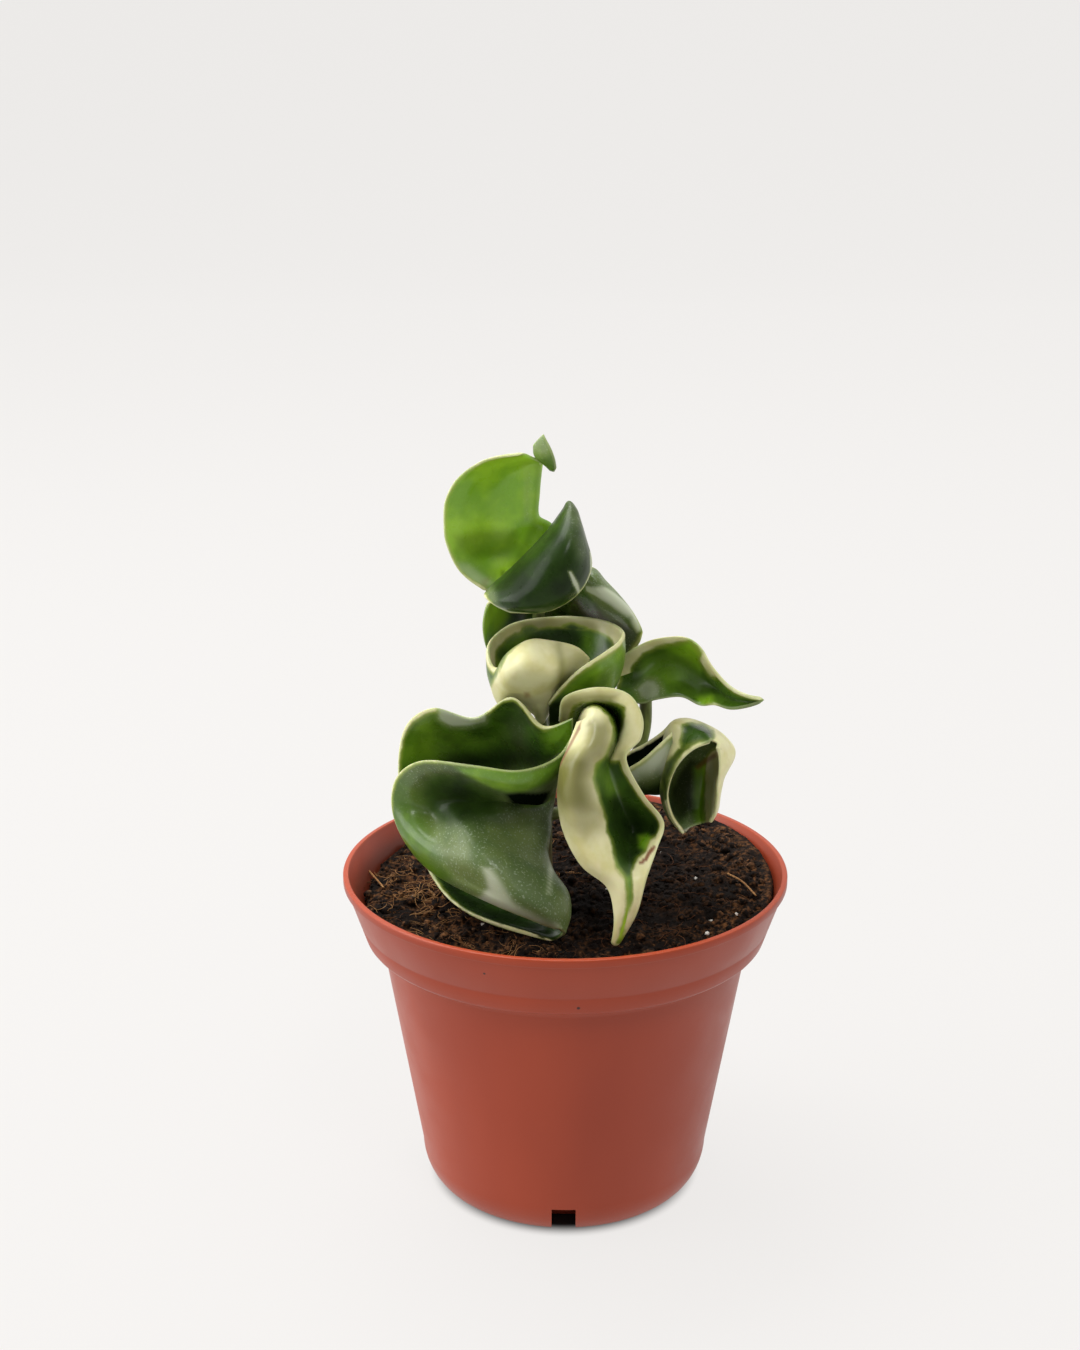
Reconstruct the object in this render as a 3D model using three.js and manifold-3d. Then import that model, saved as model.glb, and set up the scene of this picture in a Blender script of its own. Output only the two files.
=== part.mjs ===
// A potted hoya: eight thick, folded and curled leaves on a short stem, in a plain round pot.
// Millimetres, +Z up. The origin is the centre of the pot's underside, and -Y is the front.

import * as THREE from 'three';
import { mergeVertices } from 'three/addons/utils/BufferGeometryUtils.js';
import Module from 'manifold-3d';

const wasm = await Module();
wasm.setup();

// ---- Driving dimensions ---------------------------------------------------

const potHeight = 68;
const rimRadius = 45;
const lipHeight = 1.6;
const lipStep = 0.6;
const lipUnderside = 0.4;
const lipBevel = 0.3;
const collarRadius = 40.9;
const collarBottom = 55.6;
const collarBead = 0.5;
const collarBeadHeight = 0.8;
const wallTopRadius = 37.4;
const wallTopHeight = 53.4;
const ledgeRise = 0.8;
const cornerRadius = 8;
const cornerEdgeRadius = 29.8;
const footRadius = 24.6;
const footInnerRadius = 19;
const footRecess = 1.2;
const footBevel = 1;
const wallThickness = 1.2;
const floorThickness = 1.6;
const potSides = 60;
const cornerSteps = 5;
const notchCount = 4;
const notchWidth = 4.8;
const notchHeight = 6.6;
const notchInnerRadius = 20.6;

const soilHeight = 63.4;
const soilRiseRight = 2.4;
const soilRiseBack = 3.4;
const soilEdgeDrop = 1;
const soilEdgeInset = 0.5;
const soilBump = 0.7;
const soilWaves = [
  { share: 0.6, perX: 0.42, perY: 0.37, turn: 1.3 },
  { share: 0.4, perX: 0.95, perY: 1.1, turn: 0.2 },
];
const soilRings = 8;
const soilSides = 40;
const gap = 0.3;

const stemRadius = 1.9;
const branchRadius = 1.3;
const petioleRadius = 1.2;
const stemSides = 8;
const stemSteps = 24;
const branchSteps = 14;
const petioleSteps = 5;
const leafClearance = 0.6;

const leafThickness = 1.5;

// ---- Where the leaves are seen --------------------------------------------

// Leaf points are [right, up, depth]: millimetres to the right of and above the middle of a
// picture plane, and the depth behind the pot's axis. The picture plane faces an eye in front
// of the pot and above it, and each point lies on the eye's line of sight through the plane.
const eyeDistance = 369.2;
const eyeHeight = 222.2;
const eyePitch = THREE.MathUtils.degToRad(17.12);
const eyeYaw = THREE.MathUtils.degToRad(0.79);
const planeDistance = 391.1;

const eye = new THREE.Vector3(0, -eyeDistance, eyeHeight);
const eyeTurn = new THREE.Matrix4()
  .makeRotationZ(eyeYaw)
  .multiply(new THREE.Matrix4().makeRotationX(-eyePitch));

function seen([right, up, depth]) {
  const sight = new THREE.Vector3(right, planeDistance, up).transformDirection(eyeTurn);
  const reach = (depth - eye.y) / sight.y;
  return eye.clone().addScaledVector(sight, reach);
}

// ---- Solids ---------------------------------------------------------------

function toManifold(geometry) {
  const bare = geometry.index ? geometry.toNonIndexed() : geometry.clone();
  bare.deleteAttribute('normal');
  bare.deleteAttribute('uv');
  const merged = mergeVertices(bare, 1e-4);
  const vertProperties = new Float32Array(merged.attributes.position.array);
  const triVerts = new Uint32Array(merged.index.array);
  return new wasm.Manifold(new wasm.Mesh({ numProp: 3, vertProperties, triVerts }));
}

function toGeometry(solid) {
  const mesh = solid.getMesh();
  const geometry = new THREE.BufferGeometry();
  geometry.setAttribute('position', new THREE.BufferAttribute(mesh.vertProperties, 3));
  geometry.setIndex(new THREE.BufferAttribute(mesh.triVerts, 1));
  return geometry;
}

function fuse(geometries) {
  const solids = geometries.map(toManifold);
  return toGeometry(solids.reduce((whole, solid) => whole.add(solid)));
}

// A smooth sheet through a grid of points. Each section is a row across the leaf, and the
// sections follow one another from the leaf's base to its tip.
function sheetPoints(sections, alongSteps, acrossSteps) {
  const rails = sections[0].map((_, column) => {
    const points = sections.map((section) => seen(section[column]));
    return new THREE.CatmullRomCurve3(points, false, 'catmullrom', 0.5);
  });
  const rows = [];
  for (let i = 0; i <= alongSteps; i += 1) {
    const across = rails.map((rail) => rail.getPoint(i / alongSteps));
    const row = new THREE.CatmullRomCurve3(across, false, 'catmullrom', 0.5);
    rows.push(row.getPoints(acrossSteps));
  }
  return rows;
}

function sheetNormals(rows) {
  const last = rows.length - 1;
  const end = rows[0].length - 1;
  return rows.map((row, i) => row.map((_, j) => {
    const along = rows[Math.min(i + 1, last)][j].clone().sub(rows[Math.max(i - 1, 0)][j]);
    const across = row[Math.min(j + 1, end)].clone().sub(row[Math.max(j - 1, 0)]);
    return across.cross(along).normalize();
  }));
}

// Moves the points on the sheet's four edges outwards by a margin.
function spreadEdges(rows, margin) {
  const push = (point, inner) => {
    point.addScaledVector(point.clone().sub(inner).normalize(), margin);
  };
  for (const row of rows) {
    push(row.at(0), row.at(1));
    push(row.at(-1), row.at(-2));
  }
  rows.at(0).forEach((point, j) => push(point, rows.at(1)[j]));
  rows.at(-1).forEach((point, j) => push(point, rows.at(-2)[j]));
}

// The sheet thickened to a closed blade, with both faces split into triangles alike. With a
// clearance it comes out larger all round by that much.
function blade(sections, alongSteps, acrossSteps, clearance) {
  const rows = sheetPoints(sections, alongSteps, acrossSteps);
  const normals = sheetNormals(rows);
  if (clearance > 0) spreadEdges(rows, clearance);
  const thickness = leafThickness + 2 * clearance;
  const width = acrossSteps + 1;
  const faceSize = rows.length * width;
  const positions = [];
  for (const side of [0.5, -0.5]) {
    rows.forEach((row, i) => row.forEach((point, j) => {
      const offset = point.clone().addScaledVector(normals[i][j], side * thickness);
      positions.push(offset.x, offset.y, offset.z);
    }));
  }
  const indices = [];
  const front = (i, j) => i * width + j;
  const back = (i, j) => faceSize + front(i, j);
  for (let i = 0; i < alongSteps; i += 1) {
    for (let j = 0; j < acrossSteps; j += 1) {
      indices.push(front(i, j), front(i, j + 1), front(i + 1, j + 1));
      indices.push(front(i, j), front(i + 1, j + 1), front(i + 1, j));
      indices.push(back(i, j), back(i + 1, j + 1), back(i, j + 1));
      indices.push(back(i, j), back(i + 1, j), back(i + 1, j + 1));
    }
  }
  const edge = [];
  for (let j = 0; j < acrossSteps; j += 1) edge.push([0, j]);
  for (let i = 0; i < alongSteps; i += 1) edge.push([i, acrossSteps]);
  for (let j = acrossSteps; j > 0; j -= 1) edge.push([alongSteps, j]);
  for (let i = alongSteps; i > 0; i -= 1) edge.push([i, 0]);
  edge.forEach((here, k) => {
    const next = edge[(k + 1) % edge.length];
    indices.push(front(...here), back(...next), front(...next));
    indices.push(front(...here), back(...here), back(...next));
  });
  const geometry = new THREE.BufferGeometry();
  geometry.setAttribute('position', new THREE.Float32BufferAttribute(positions, 3));
  geometry.setIndex(indices);
  return geometry;
}

function rod(points, radius, steps) {
  const circle = new THREE.Shape();
  circle.absarc(0, 0, radius, 0, 2 * Math.PI);
  const path = new THREE.CatmullRomCurve3(points, false, 'catmullrom', 0.5);
  return new THREE.ExtrudeGeometry(circle, {
    steps, extrudePath: path, curveSegments: stemSides / 2, bevelEnabled: false,
  });
}

// ---- Leaves ----------------------------------------------------------------

const leftLeaf = [
  [[6.8, -11.6, -15], [7, -13, -15], [6.6, -14.6, -14], [6.2, -15.6, -12.5],
    [6.2, -15, -11.5], [6.4, -13.2, -12], [6.6, -10.8, -12.9], [6.6, -8.6, -13.7]],
  [[3.4, -16.4, -19], [3.2, -18.6, -18.5], [3, -20.4, -14], [3.2, -21, -10],
    [3.2, -19.4, -8], [2.2, -16.4, -7], [1.2, -13.4, -8.8], [0.4, -10.2, -10.6]],
  [[-4.2, -19, -25], [-4, -22.2, -24], [-2.6, -24.4, -14], [0, -25.4, -9],
    [2.4, -24, -6.5], [-1, -18, -3], [-4, -10, -4], [-5.6, -4.4, -9]],
  [[-13.6, -18, -24], [-12.8, -20.6, -22.5], [-10.4, -24.4, -14], [-5, -27.4, -15],
    [1.8, -28, -8], [-5, -20, 1], [-10, -13, 1], [-13.2, -8.6, -3]],
  [[-24, -17.2, -17], [-22.4, -19.4, -15.5], [-19, -25, -12], [-12, -29.4, -18],
    [1.6, -32, -12], [-8, -23, 3], [-17, -14, 3], [-21.6, -6.6, -1]],
  [[-29.2, -21.4, -10], [-26.4, -24.4, -10], [-21, -28.6, -11], [-13, -32.6, -22],
    [1, -35.6, -15], [-8, -29, 2], [-20, -19, 5], [-27.4, -11.4, 2]],
  [[-29, -29.4, -10], [-26, -31.4, -13], [-20, -35, -19], [-10.4, -37, -26],
    [2.2, -39.6, -19], [-6, -36, -3], [-19, -30, 3], [-28, -24, 0]],
  [[-23, -38.2, -14], [-20.4, -39, -18], [-15, -40.6, -23], [-6, -41.6, -28],
    [5, -43.4, -21], [-4, -42.6, -8], [-16, -39.4, -1], [-23, -38, -1]],
  [[-11.6, -44.6, -22], [-10, -44.8, -25], [-6.4, -45.2, -28], [-0.8, -45.8, -29],
    [5.6, -47.2, -24], [-1, -48.4, -18], [-10, -48.4, -15], [-15.4, -47, -14]],
  [[1.8, -50, -27.5], [2.6, -50.4, -28], [3.6, -50.8, -28.3], [4.4, -51.2, -28],
    [4.8, -51.8, -27.3], [4.2, -52.4, -26.5], [3.2, -53, -25.8], [2, -53.2, -25.5]],
];
const frontLeaf = [
  [[7.4, -9.6, -17.5], [8.6, -9.4, -18.5], [8.8, -10.4, -14.5],
    [7.4, -11.2, -6.5], [5.4, -10.8, -6], [3.7, -9.2, -8]],
  [[7, -10.6, -19], [9.8, -9, -21.5], [10, -7.6, -17.5],
    [9.2, -6.8, -7.5], [6.8, -5.8, -10], [4.8, -4.4, -11.5]],
  [[6.2, -12.4, -20.5], [10.4, -10.4, -22.5], [11.6, -7.4, -18],
    [12, -6.2, -5], [11.6, -4.6, -13.5], [11.4, -2.4, -15]],
  [[5.6, -14, -21.5], [10.4, -12, -23.5], [13.2, -9.4, -19],
    [14.8, -8.4, -6], [16, -5.6, -14.5], [17.6, -3.7, -16]],
  [[5, -15.6, -22], [10, -13.6, -24.5], [13.8, -12.4, -20],
    [15.6, -11.6, -8], [17.8, -9, -15.5], [20.5, -8.2, -17]],
  [[4.2, -17.4, -22], [9, -15.4, -25.5], [13, -15, -21],
    [15, -14.6, -12], [17, -13, -16.5], [20.2, -12.8, -18]],
  [[3.8, -19.4, -22], [7.4, -18.6, -26], [10.4, -19.4, -23],
    [13, -19, -17], [15.4, -17.6, -17], [17.2, -16.6, -19]],
  [[3.4, -24.4, -22], [7, -25, -26], [11.4, -25.6, -23],
    [15.6, -26, -16], [18.4, -24.4, -17], [20.8, -24, -20]],
  [[4.6, -31.4, -22], [8.6, -32.2, -25], [12.8, -31.4, -22],
    [18, -31.4, -15], [22.4, -30, -17], [24.8, -29.4, -20]],
  [[8.2, -38.2, -24], [11.4, -37.4, -26], [14, -36.6, -25],
    [17.6, -35.4, -20], [21, -34.6, -21], [23.4, -34.8, -23]],
  [[13.4, -42.4, -26], [15, -42.4, -27], [16.4, -42.2, -27.5],
    [18, -41.8, -26.5], [19.8, -41.2, -26], [21.4, -40.6, -26]],
  [[14.8, -48.6, -28], [15.8, -48.8, -28.5], [16.8, -48.8, -28.5],
    [17.8, -48.6, -28.5], [18.6, -48.2, -28], [19.4, -47.8, -28]],
  [[14.2, -53.6, -29], [14.6, -54, -29], [15, -54.2, -29],
    [15.4, -54.2, -29], [15.6, -54, -29], [16, -53.6, -29]],
];
const cupLeaf = [
  [[1.6, -5.6, -6], [1.8, -6.4, -5.4], [1.8, -7.4, -4.8], [1.8, -8.6, -4], [1.6, -10.2, -3]],
  [[4, -2.6, -8.6], [4.2, -3.8, -7.6], [4, -5.4, -6], [3.6, -7.6, -4.8], [3, -10, -3]],
  [[7.6, 1, -10.3], [8, -0.6, -9.3], [7.4, -3, -7.2], [6, -5.8, -5], [4.4, -9, -3]],
  [[12, 4, -10], [12.2, 2.2, -9.5], [11.2, -0.6, -7.8], [8.8, -3.8, -5.5], [5.4, -7.6, -3]],
  [[15.8, 6.8, -6], [15.6, 4.2, -6], [15, 0.8, -5], [12.8, -3.4, -3.5], [6.4, -6.2, -2]],
  [[16.4, 9.2, 2], [16.2, 6.6, 1.6], [15.6, 2.2, 1], [13.2, -3, 0.2], [6, -6.8, 0]],
  [[12, 11.2, 8], [11.8, 8.6, 7.8], [10.8, 4, 6], [8.8, -1.8, 3.5], [4.4, -6.4, 1.5]],
  [[4, 11.8, 10.1], [3.8, 9.2, 9.6], [3.4, 4.6, 8], [3, -1, 5], [2.6, -6, 2.5]],
  [[-4.8, 10.6, 8.5], [-4.4, 7.8, 8.5], [-3.8, 3.6, 8], [-2.4, -2, 5.5], [0.8, -6.4, 3]],
  [[-9.6, 7.4, 3], [-9.2, 5, 3.7], [-8.2, 0.6, 4], [-6.2, -4.4, 3.5], [-1.6, -7, 2.5]],
  [[-10.4, 3.8, -2], [-10.2, 2, -1.7], [-9.4, -1.4, -0.5], [-7.6, -5.6, 0.5], [-3.2, -7.4, 1]],
  [[-8.4, 1.2, -4], [-8.6, 0.6, -5], [-8.4, -1.8, -5], [-7, -5.4, -3], [-3.8, -7.2, -1]],
  [[-5.4, 2.6, -3], [-6, 4, -8], [-5.8, 0.6, -11.5], [-5.2, -4, -5.5], [-3.2, -7, -2.5]],
  [[-1.6, 3.8, -2], [-2, 6.4, -7.5], [-1.8, 2.2, -13], [-1.8, -3, -8], [-1.4, -7.8, -3]],
  [[2.4, 3.4, -1.5], [2, 6.2, -6], [2.2, 1.6, -11], [0.8, -3.4, -7], [-0.6, -9.2, -3]],
  [[6.4, 2.8, -1.5], [6.6, 5.2, -4.5], [5.8, 1.4, -7], [3, -3, -5], [0.2, -10, -2.7]],
  [[9.6, 1.4, -1], [10, 3, -3], [8.8, -0.2, -4], [4.4, -4, -3], [0.6, -9.2, -1.8]],
];
const billLeaf = [
  [[16, 3.6, 4.5], [15.5, 1, 5.2], [15.3, -1.4, 5], [15.4, -3.2, 4.5], [16.2, -4.8, 3]],
  [[19.2, 5.6, 1], [19, 2.8, 4], [19.2, -0.2, 5], [19.6, -3.4, 4], [20.2, -5.8, 1]],
  [[23.2, 7.2, -1], [23, 4.6, 4], [23, 1.4, 5], [23, -2, 3], [23.2, -5, -1]],
  [[28.6, 7.6, -3], [28.2, 5.2, 2], [28, 2, 3], [28, -1.8, 1], [28.2, -4.4, -3]],
  [[31.8, 5.8, -5], [31.8, 3.2, 0], [31.6, 0, 1], [31.6, -3.6, -1], [32, -6.1, -5]],
  [[34.2, 1.8, -6], [34.2, 0.2, -2], [34.4, -1.8, -1], [34.6, -4, -3], [35, -6, -7]],
  [[37.8, -2.2, -7], [37.8, -3.2, -5], [38, -4.2, -4], [38, -5.6, -5.5], [38, -6.8, -8]],
  [[41.4, -4.1, -8], [41.2, -4.6, -7], [41.2, -5, -6.5], [41.2, -5.8, -7], [41.2, -6.4, -8]],
  [[44.4, -4.7, -8], [44.6, -4.8, -8], [44.8, -5, -8], [44.6, -5.2, -8], [44.4, -5.4, -8]],
];
const rightHood = [
  [[34, -13.4, -12.5], [34.2, -13, -12], [34.4, -13, -11.5], [34.8, -13.2, -11.2],
    [35.2, -13.4, -11.2], [35.5, -13.8, -11.5], [35.4, -14.6, -12]],
  [[30.8, -14.8, -13], [29.8, -13, -9], [30.4, -10.8, -6], [33.4, -10.9, -4],
    [36.2, -12.4, -4], [37.4, -14.6, -7], [35.8, -16.6, -12]],
  [[28, -17.4, -13], [26.6, -14.8, -8], [26.2, -10.4, -4], [29.4, -9.5, -1],
    [34.8, -12.2, -1], [38.4, -15.6, -4.5], [35.8, -19.4, -12]],
  [[26.2, -20.6, -12.7], [25, -18.6, -6], [25.4, -15.4, -1], [30.4, -14, 2],
    [34.8, -15.4, 1], [36.5, -18.8, -4], [35.5, -22.2, -12]],
  [[25.4, -24.4, -12], [24.6, -23, -5], [26.2, -21, 2], [30.8, -20, 4],
    [33.8, -20.4, 3], [35.4, -22.4, -5], [35.4, -25, -11.5]],
  [[26.4, -28.4, -11], [26.2, -28, -5], [28.2, -27.2, 2], [31, -26.6, 3],
    [33, -26.4, 2], [34.8, -26.6, -4.5], [35, -27.6, -11]],
  [[28.6, -31.8, -10], [29.2, -31.4, -6], [30, -30.6, -2], [31.4, -30, -1],
    [32.6, -29.7, -1], [33.8, -29.4, -5.5], [34, -29.5, -10.5]],
];
const rightArm = [
  [[26.2, -9.4, -1], [27.2, -14, 0], [27.2, -18, -3], [26.8, -15.6, -7], [26.4, -11.4, -8]],
  [[24.2, -11.4, -1], [24.8, -15.4, 0], [24.8, -22.8, -4], [24.2, -18.4, -8], [23.6, -14, -9]],
  [[21, -13.6, 0], [21.4, -17.8, 0], [21.2, -23.2, -4], [20.8, -20.8, -8], [20.2, -17, -9]],
  [[16, -16.2, 2], [15.8, -19.4, 0.5], [15.8, -23.6, -3], [15.6, -21.8, -6], [15.4, -19.8, -7]],
];
const backLeaf = [
  [[-10.4, 14.4, 7], [-11, 12.6, 6], [-11.4, 9.8, 6], [-11, 6.6, 7], [-10, 3.6, 9]],
  [[-7.2, 17, 13], [-7.8, 14, 14], [-7.8, 10.6, 15], [-7.4, 7, 16], [-6.6, 3.4, 16]],
  [[-1, 19, 18], [-1.6, 15.4, 19], [-1.6, 11.4, 20.5], [-1, 7.4, 21], [-0.4, 3.4, 19]],
  [[6, 21, 15], [5.2, 18, 13], [4.4, 15, 14.5], [4, 10, 19], [4, 5, 18]],
  [[10.4, 21.6, 8], [9.8, 19.4, 4], [8, 17, 8.5], [6.4, 12.6, 15], [5.2, 7, 17]],
  [[13, 19, 8], [12.4, 16.6, 3], [10.8, 14.6, 8], [10, 11, 14], [8.4, 6, 16]],
  [[15.8, 16, 7], [15.2, 14.2, 3.2], [14.2, 12.4, 7.6], [13.2, 9, 12.5], [11.6, 5, 14.4]],
  [[18.4, 12.6, 6], [18, 11.4, 4], [17.4, 9.6, 7], [16, 6.8, 10.3], [14.8, 4.6, 12.4]],
  [[20.6, 8.6, 5], [20.4, 7.8, 5], [20, 6.6, 6], [19, 5, 8], [18, 3.6, 9]],
];
const hoodLeaf = [
  [[5.6, 34.4, 0], [5.7, 34.8, -0.5], [5.9, 34.8, -0.5], [6.2, 34.5, 0], [6.6, 34, 0.5]],
  [[4.2, 31.8, 3], [4.8, 32.2, -2], [6, 32.4, -4], [7, 32.2, -3], [7.6, 31.6, 0]],
  [[1.1, 28, 4], [2.4, 28.2, -4], [4.6, 28.2, -8], [7.2, 28.2, -8], [9, 27.6, -3]],
  [[-3, 23.8, 4], [-1.4, 23.4, -6], [2, 23, -11], [6.4, 23, -11], [10.4, 21.8, -5]],
  [[-7, 20.2, 3], [-5, 19, -6], [-1, 17.4, -12], [4, 17, -12], [7.8, 16.4, -8]],
  [[-9.8, 17.6, 1], [-8.6, 16.6, -5], [-5.8, 15.2, -10], [-2, 14, -12], [1.8, 12.8, -10]],
  [[-11.2, 15.8, -2], [-10.8, 15.2, -4], [-9.8, 14.4, -6], [-8.4, 13.6, -7], [-6.2, 12.6, -7]],
];
const discLeaf = [
  [[-11, 17, 5], [-9.8, 16.8, 6], [-8.6, 17, 7], [-7.4, 17.4, 8], [-6.4, 18, 9], [-5.6, 17.4, 12]],
  [[-16, 20.6, 5], [-12, 19.8, 7], [-7.8, 20.8, 9], [-3, 23, 9], [0.4, 25.4, 9], [-2, 23, 15]],
  [[-18.7, 25.9, 5], [-14, 25.8, 7], [-8.8, 25.8, 8.5], [-3, 27.6, 9], [2.2, 29.4, 9], [-2, 27, 15.5]],
  [[-19.3, 30.4, 5], [-14, 29.8, 7], [-8.8, 29.6, 8.5],
    [-3.6, 30.4, 8.5], [-0.8, 31.6, 8.5], [-3, 30.4, 15.5]],
  [[-18.9, 35.2, 5], [-14, 34.6, 7], [-8.8, 34.2, 8.5],
    [-3.8, 35, 8.5], [-0.7, 36.6, 8.5], [-3, 35, 15.5]],
  [[-16.3, 39.6, 5], [-12.4, 38.6, 7], [-8.2, 38, 8.5],
    [-4, 38.8, 8.5], [-0.4, 40.2, 8.5], [-2.4, 39.2, 14]],
  [[-10.9, 43.1, 5], [-8.4, 42.2, 7], [-5.8, 41.8, 8],
    [-2.6, 42, 8.5], [0, 42.2, 8.5], [-0.8, 41.8, 11.5]],
  [[-3.4, 44.4, 6.5], [-2.6, 44.2, 6.8], [-1.8, 43.8, 7],
    [-1, 43.4, 7.2], [-0.2, 43, 7.4], [0.4, 42.2, 7.6]],
];
const discTip = [
  [[2.4, 40.8, 6], [2.8, 40.6, 5], [3.2, 41.2, 4]],
  [[1.2, 41.8, 7], [2.2, 42.4, 4.5], [2.9, 43.2, 3]],
  [[-0.2, 42.8, 7.5], [1, 44.2, 4.5], [2.2, 45.3, 2.5]],
  [[-1.2, 44, 7.5], [0, 45.8, 4.5], [1.3, 47, 2.5]],
  [[-1.4, 46, 6], [-0.4, 47.2, 4.5], [0.7, 48.2, 3]],
];
// ---- Pot and soil ---------------------------------------------------------

function potProfile() {
  const outer = [[0, footRecess], [footInnerRadius, footRecess], [footInnerRadius + footBevel, 0]];
  for (let k = 0; k <= cornerSteps; k += 1) {
    const turn = (k / cornerSteps) * Math.PI / 2;
    const radius = footRadius + (cornerEdgeRadius - footRadius) * Math.sin(turn);
    outer.push([radius, cornerRadius * (1 - Math.cos(turn))]);
  }
  outer.push([wallTopRadius, wallTopHeight]);
  outer.push([collarRadius - collarBead, collarBottom - collarBeadHeight]);
  outer.push([collarRadius, collarBottom]);
  outer.push([rimRadius - lipStep, potHeight - lipHeight - lipUnderside]);
  outer.push([rimRadius, potHeight - lipHeight]);
  outer.push([rimRadius, potHeight - lipBevel]);
  outer.push([rimRadius - lipBevel, potHeight]);
  const floorTop = footRecess + floorThickness;
  const inner = [
    [rimRadius - wallThickness, potHeight],
    [innerRadiusAt(collarBottom + ledgeRise), collarBottom + ledgeRise],
    [innerRadiusAt(wallTopHeight + ledgeRise), wallTopHeight + ledgeRise],
    [innerRadiusAt(cornerRadius), cornerRadius],
    [footRadius, floorTop],
    [0, floorTop],
  ];
  return [...outer, ...inner].map(([radius, height]) => new THREE.Vector2(radius, height));
}

// The radius of the pot's inside at a height on its wall or collar. The ledge under the collar
// lies a little higher inside than outside, which keeps the wall's thickness there.
function innerRadiusAt(height) {
  const knots = [
    [cornerRadius, cornerEdgeRadius], [wallTopHeight + ledgeRise, wallTopRadius],
    [collarBottom + ledgeRise, collarRadius], [potHeight, rimRadius],
  ];
  let k = 0;
  while (k < knots.length - 2 && height > knots[k + 1][0]) k += 1;
  const [[lowHeight, lowRadius], [highHeight, highRadius]] = [knots[k], knots[k + 1]];
  const part = (height - lowHeight) / (highHeight - lowHeight);
  return lowRadius + part * (highRadius - lowRadius) - wallThickness;
}

function potGeometry() {
  const turned = new THREE.LatheGeometry(potProfile(), potSides).rotateX(Math.PI / 2);
  let solid = toManifold(turned);
  for (let k = 0; k < notchCount; k += 1) {
    const notchDepth = rimRadius - notchInnerRadius;
    const notch = new THREE.BoxGeometry(notchWidth, notchDepth, 2 * notchHeight);
    notch.translate(0, -notchInnerRadius - notchDepth / 2, 0);
    notch.rotateZ((k * 2 * Math.PI) / notchCount);
    solid = solid.subtract(toManifold(notch));
  }
  return toGeometry(solid);
}

// The height of the soil's low lumps above and below its mean level.
function soilBumpAt(x, y) {
  return soilBump * soilWaves.reduce((height, wave) => {
    const alongX = Math.sin(x * wave.perX + wave.turn);
    const alongY = Math.cos(y * wave.perY - wave.turn);
    return height + wave.share * alongX * alongY;
  }, 0);
}

function soilProfile() {
  const bottom = footRecess + floorThickness + gap;
  const profile = [[0, bottom], [footRadius - footBevel, bottom]];
  profile.push([innerRadiusAt(cornerRadius) - 2 * gap, cornerRadius + gap]);
  for (const height of [wallTopHeight + ledgeRise, collarBottom + ledgeRise]) {
    profile.push([innerRadiusAt(height) - gap, height + gap]);
  }
  const topRadius = innerRadiusAt(soilHeight - soilEdgeDrop) - gap;
  profile.push([topRadius, soilHeight - soilEdgeDrop]);
  for (let ring = soilRings; ring >= 0; ring -= 1) {
    profile.push([(topRadius - soilEdgeInset) * (ring / soilRings), soilHeight]);
  }
  return profile.map(([radius, height]) => new THREE.Vector2(radius, height));
}

// The soil's top leans, so that it lies higher at the right and at the back.
function soilGeometry(stemHole) {
  const geometry = new THREE.LatheGeometry(soilProfile(), soilSides).rotateX(Math.PI / 2);
  const position = geometry.attributes.position;
  const level = soilHeight - soilEdgeDrop;
  const edgeRadius = innerRadiusAt(level) - gap;
  for (let k = 0; k < position.count; k += 1) {
    const height = position.getZ(k);
    if (height > level - 1e-3) {
      const [x, y] = [position.getX(k), position.getY(k)];
      const bump = height > level + 1e-3 ? soilBumpAt(x, y) : 0;
      const rise = (soilRiseRight * x + soilRiseBack * y) / edgeRadius;
      const spread = (innerRadiusAt(level + rise) - gap) / edgeRadius;
      position.setXYZ(k, x * spread, y * spread, height + rise + bump);
    }
  }
  return toGeometry(toManifold(geometry).subtract(toManifold(stemHole)));
}


// ---- Stem, branches and petioles ------------------------------------------

const stemPath = [
  [-4, 1, 47], [-4, 1, 62], [-4.5, 1.5, 80], [-4.5, 3, 94],
  [-5, 7, 103], [-5.5, 12, 111], [-5.5, 13.5, 118], [-4.5, 11, 125], [-6, 9.5, 131],
];
const rightBranchPath = [[-4.5, 1.5, 78], [4, 3, 80], [12, 3.5, 86], [15.7, 4, 95], [16, 3.5, 104.5]];
const petiolePaths = {
  left: [[-4.5, 1.5, 86], [-3.5, -3, 87.5], [-2.5, -8, 89]],
  front: [[-4.5, 2, 90], [3, -2, 94], [9.8, -7.4, 98.4]],
  cup: [[-4.5, 3, 93], [-4.6, 0.5, 98], [-5, -0.3, 102.5]],
  back: [[-5.5, 12, 111], [-4, 15, 113], [-2, 20, 115]],
  hood: [[-4.5, 11, 125], [-7, 4, 128], [-8, -6.5, 130.5]],
  rightHood: [[12, 3.5, 86], [13.5, 2, 87.5], [15, -0.2, 89]],
};

function toVectors(points) {
  return points.map((point) => new THREE.Vector3(...point));
}

// The stem with its branch and petioles. Each petiole stops just short of the leaf it carries.
function stemGeometry(leafRooms) {
  let solid = toManifold(rod(toVectors(stemPath), stemRadius, stemSteps));
  solid = solid.add(toManifold(rod(toVectors(rightBranchPath), branchRadius, branchSteps)));
  for (const path of Object.values(petiolePaths)) {
    solid = solid.add(toManifold(rod(toVectors(path), petioleRadius, petioleSteps)));
  }
  for (const room of leafRooms) solid = solid.subtract(toManifold(room));
  const pieces = solid.decompose();
  const whole = pieces.reduce((best, piece) => (piece.volume() > best.volume() ? piece : best));
  return toGeometry(whole);
}

// ---- Assembly -------------------------------------------------------------

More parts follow.
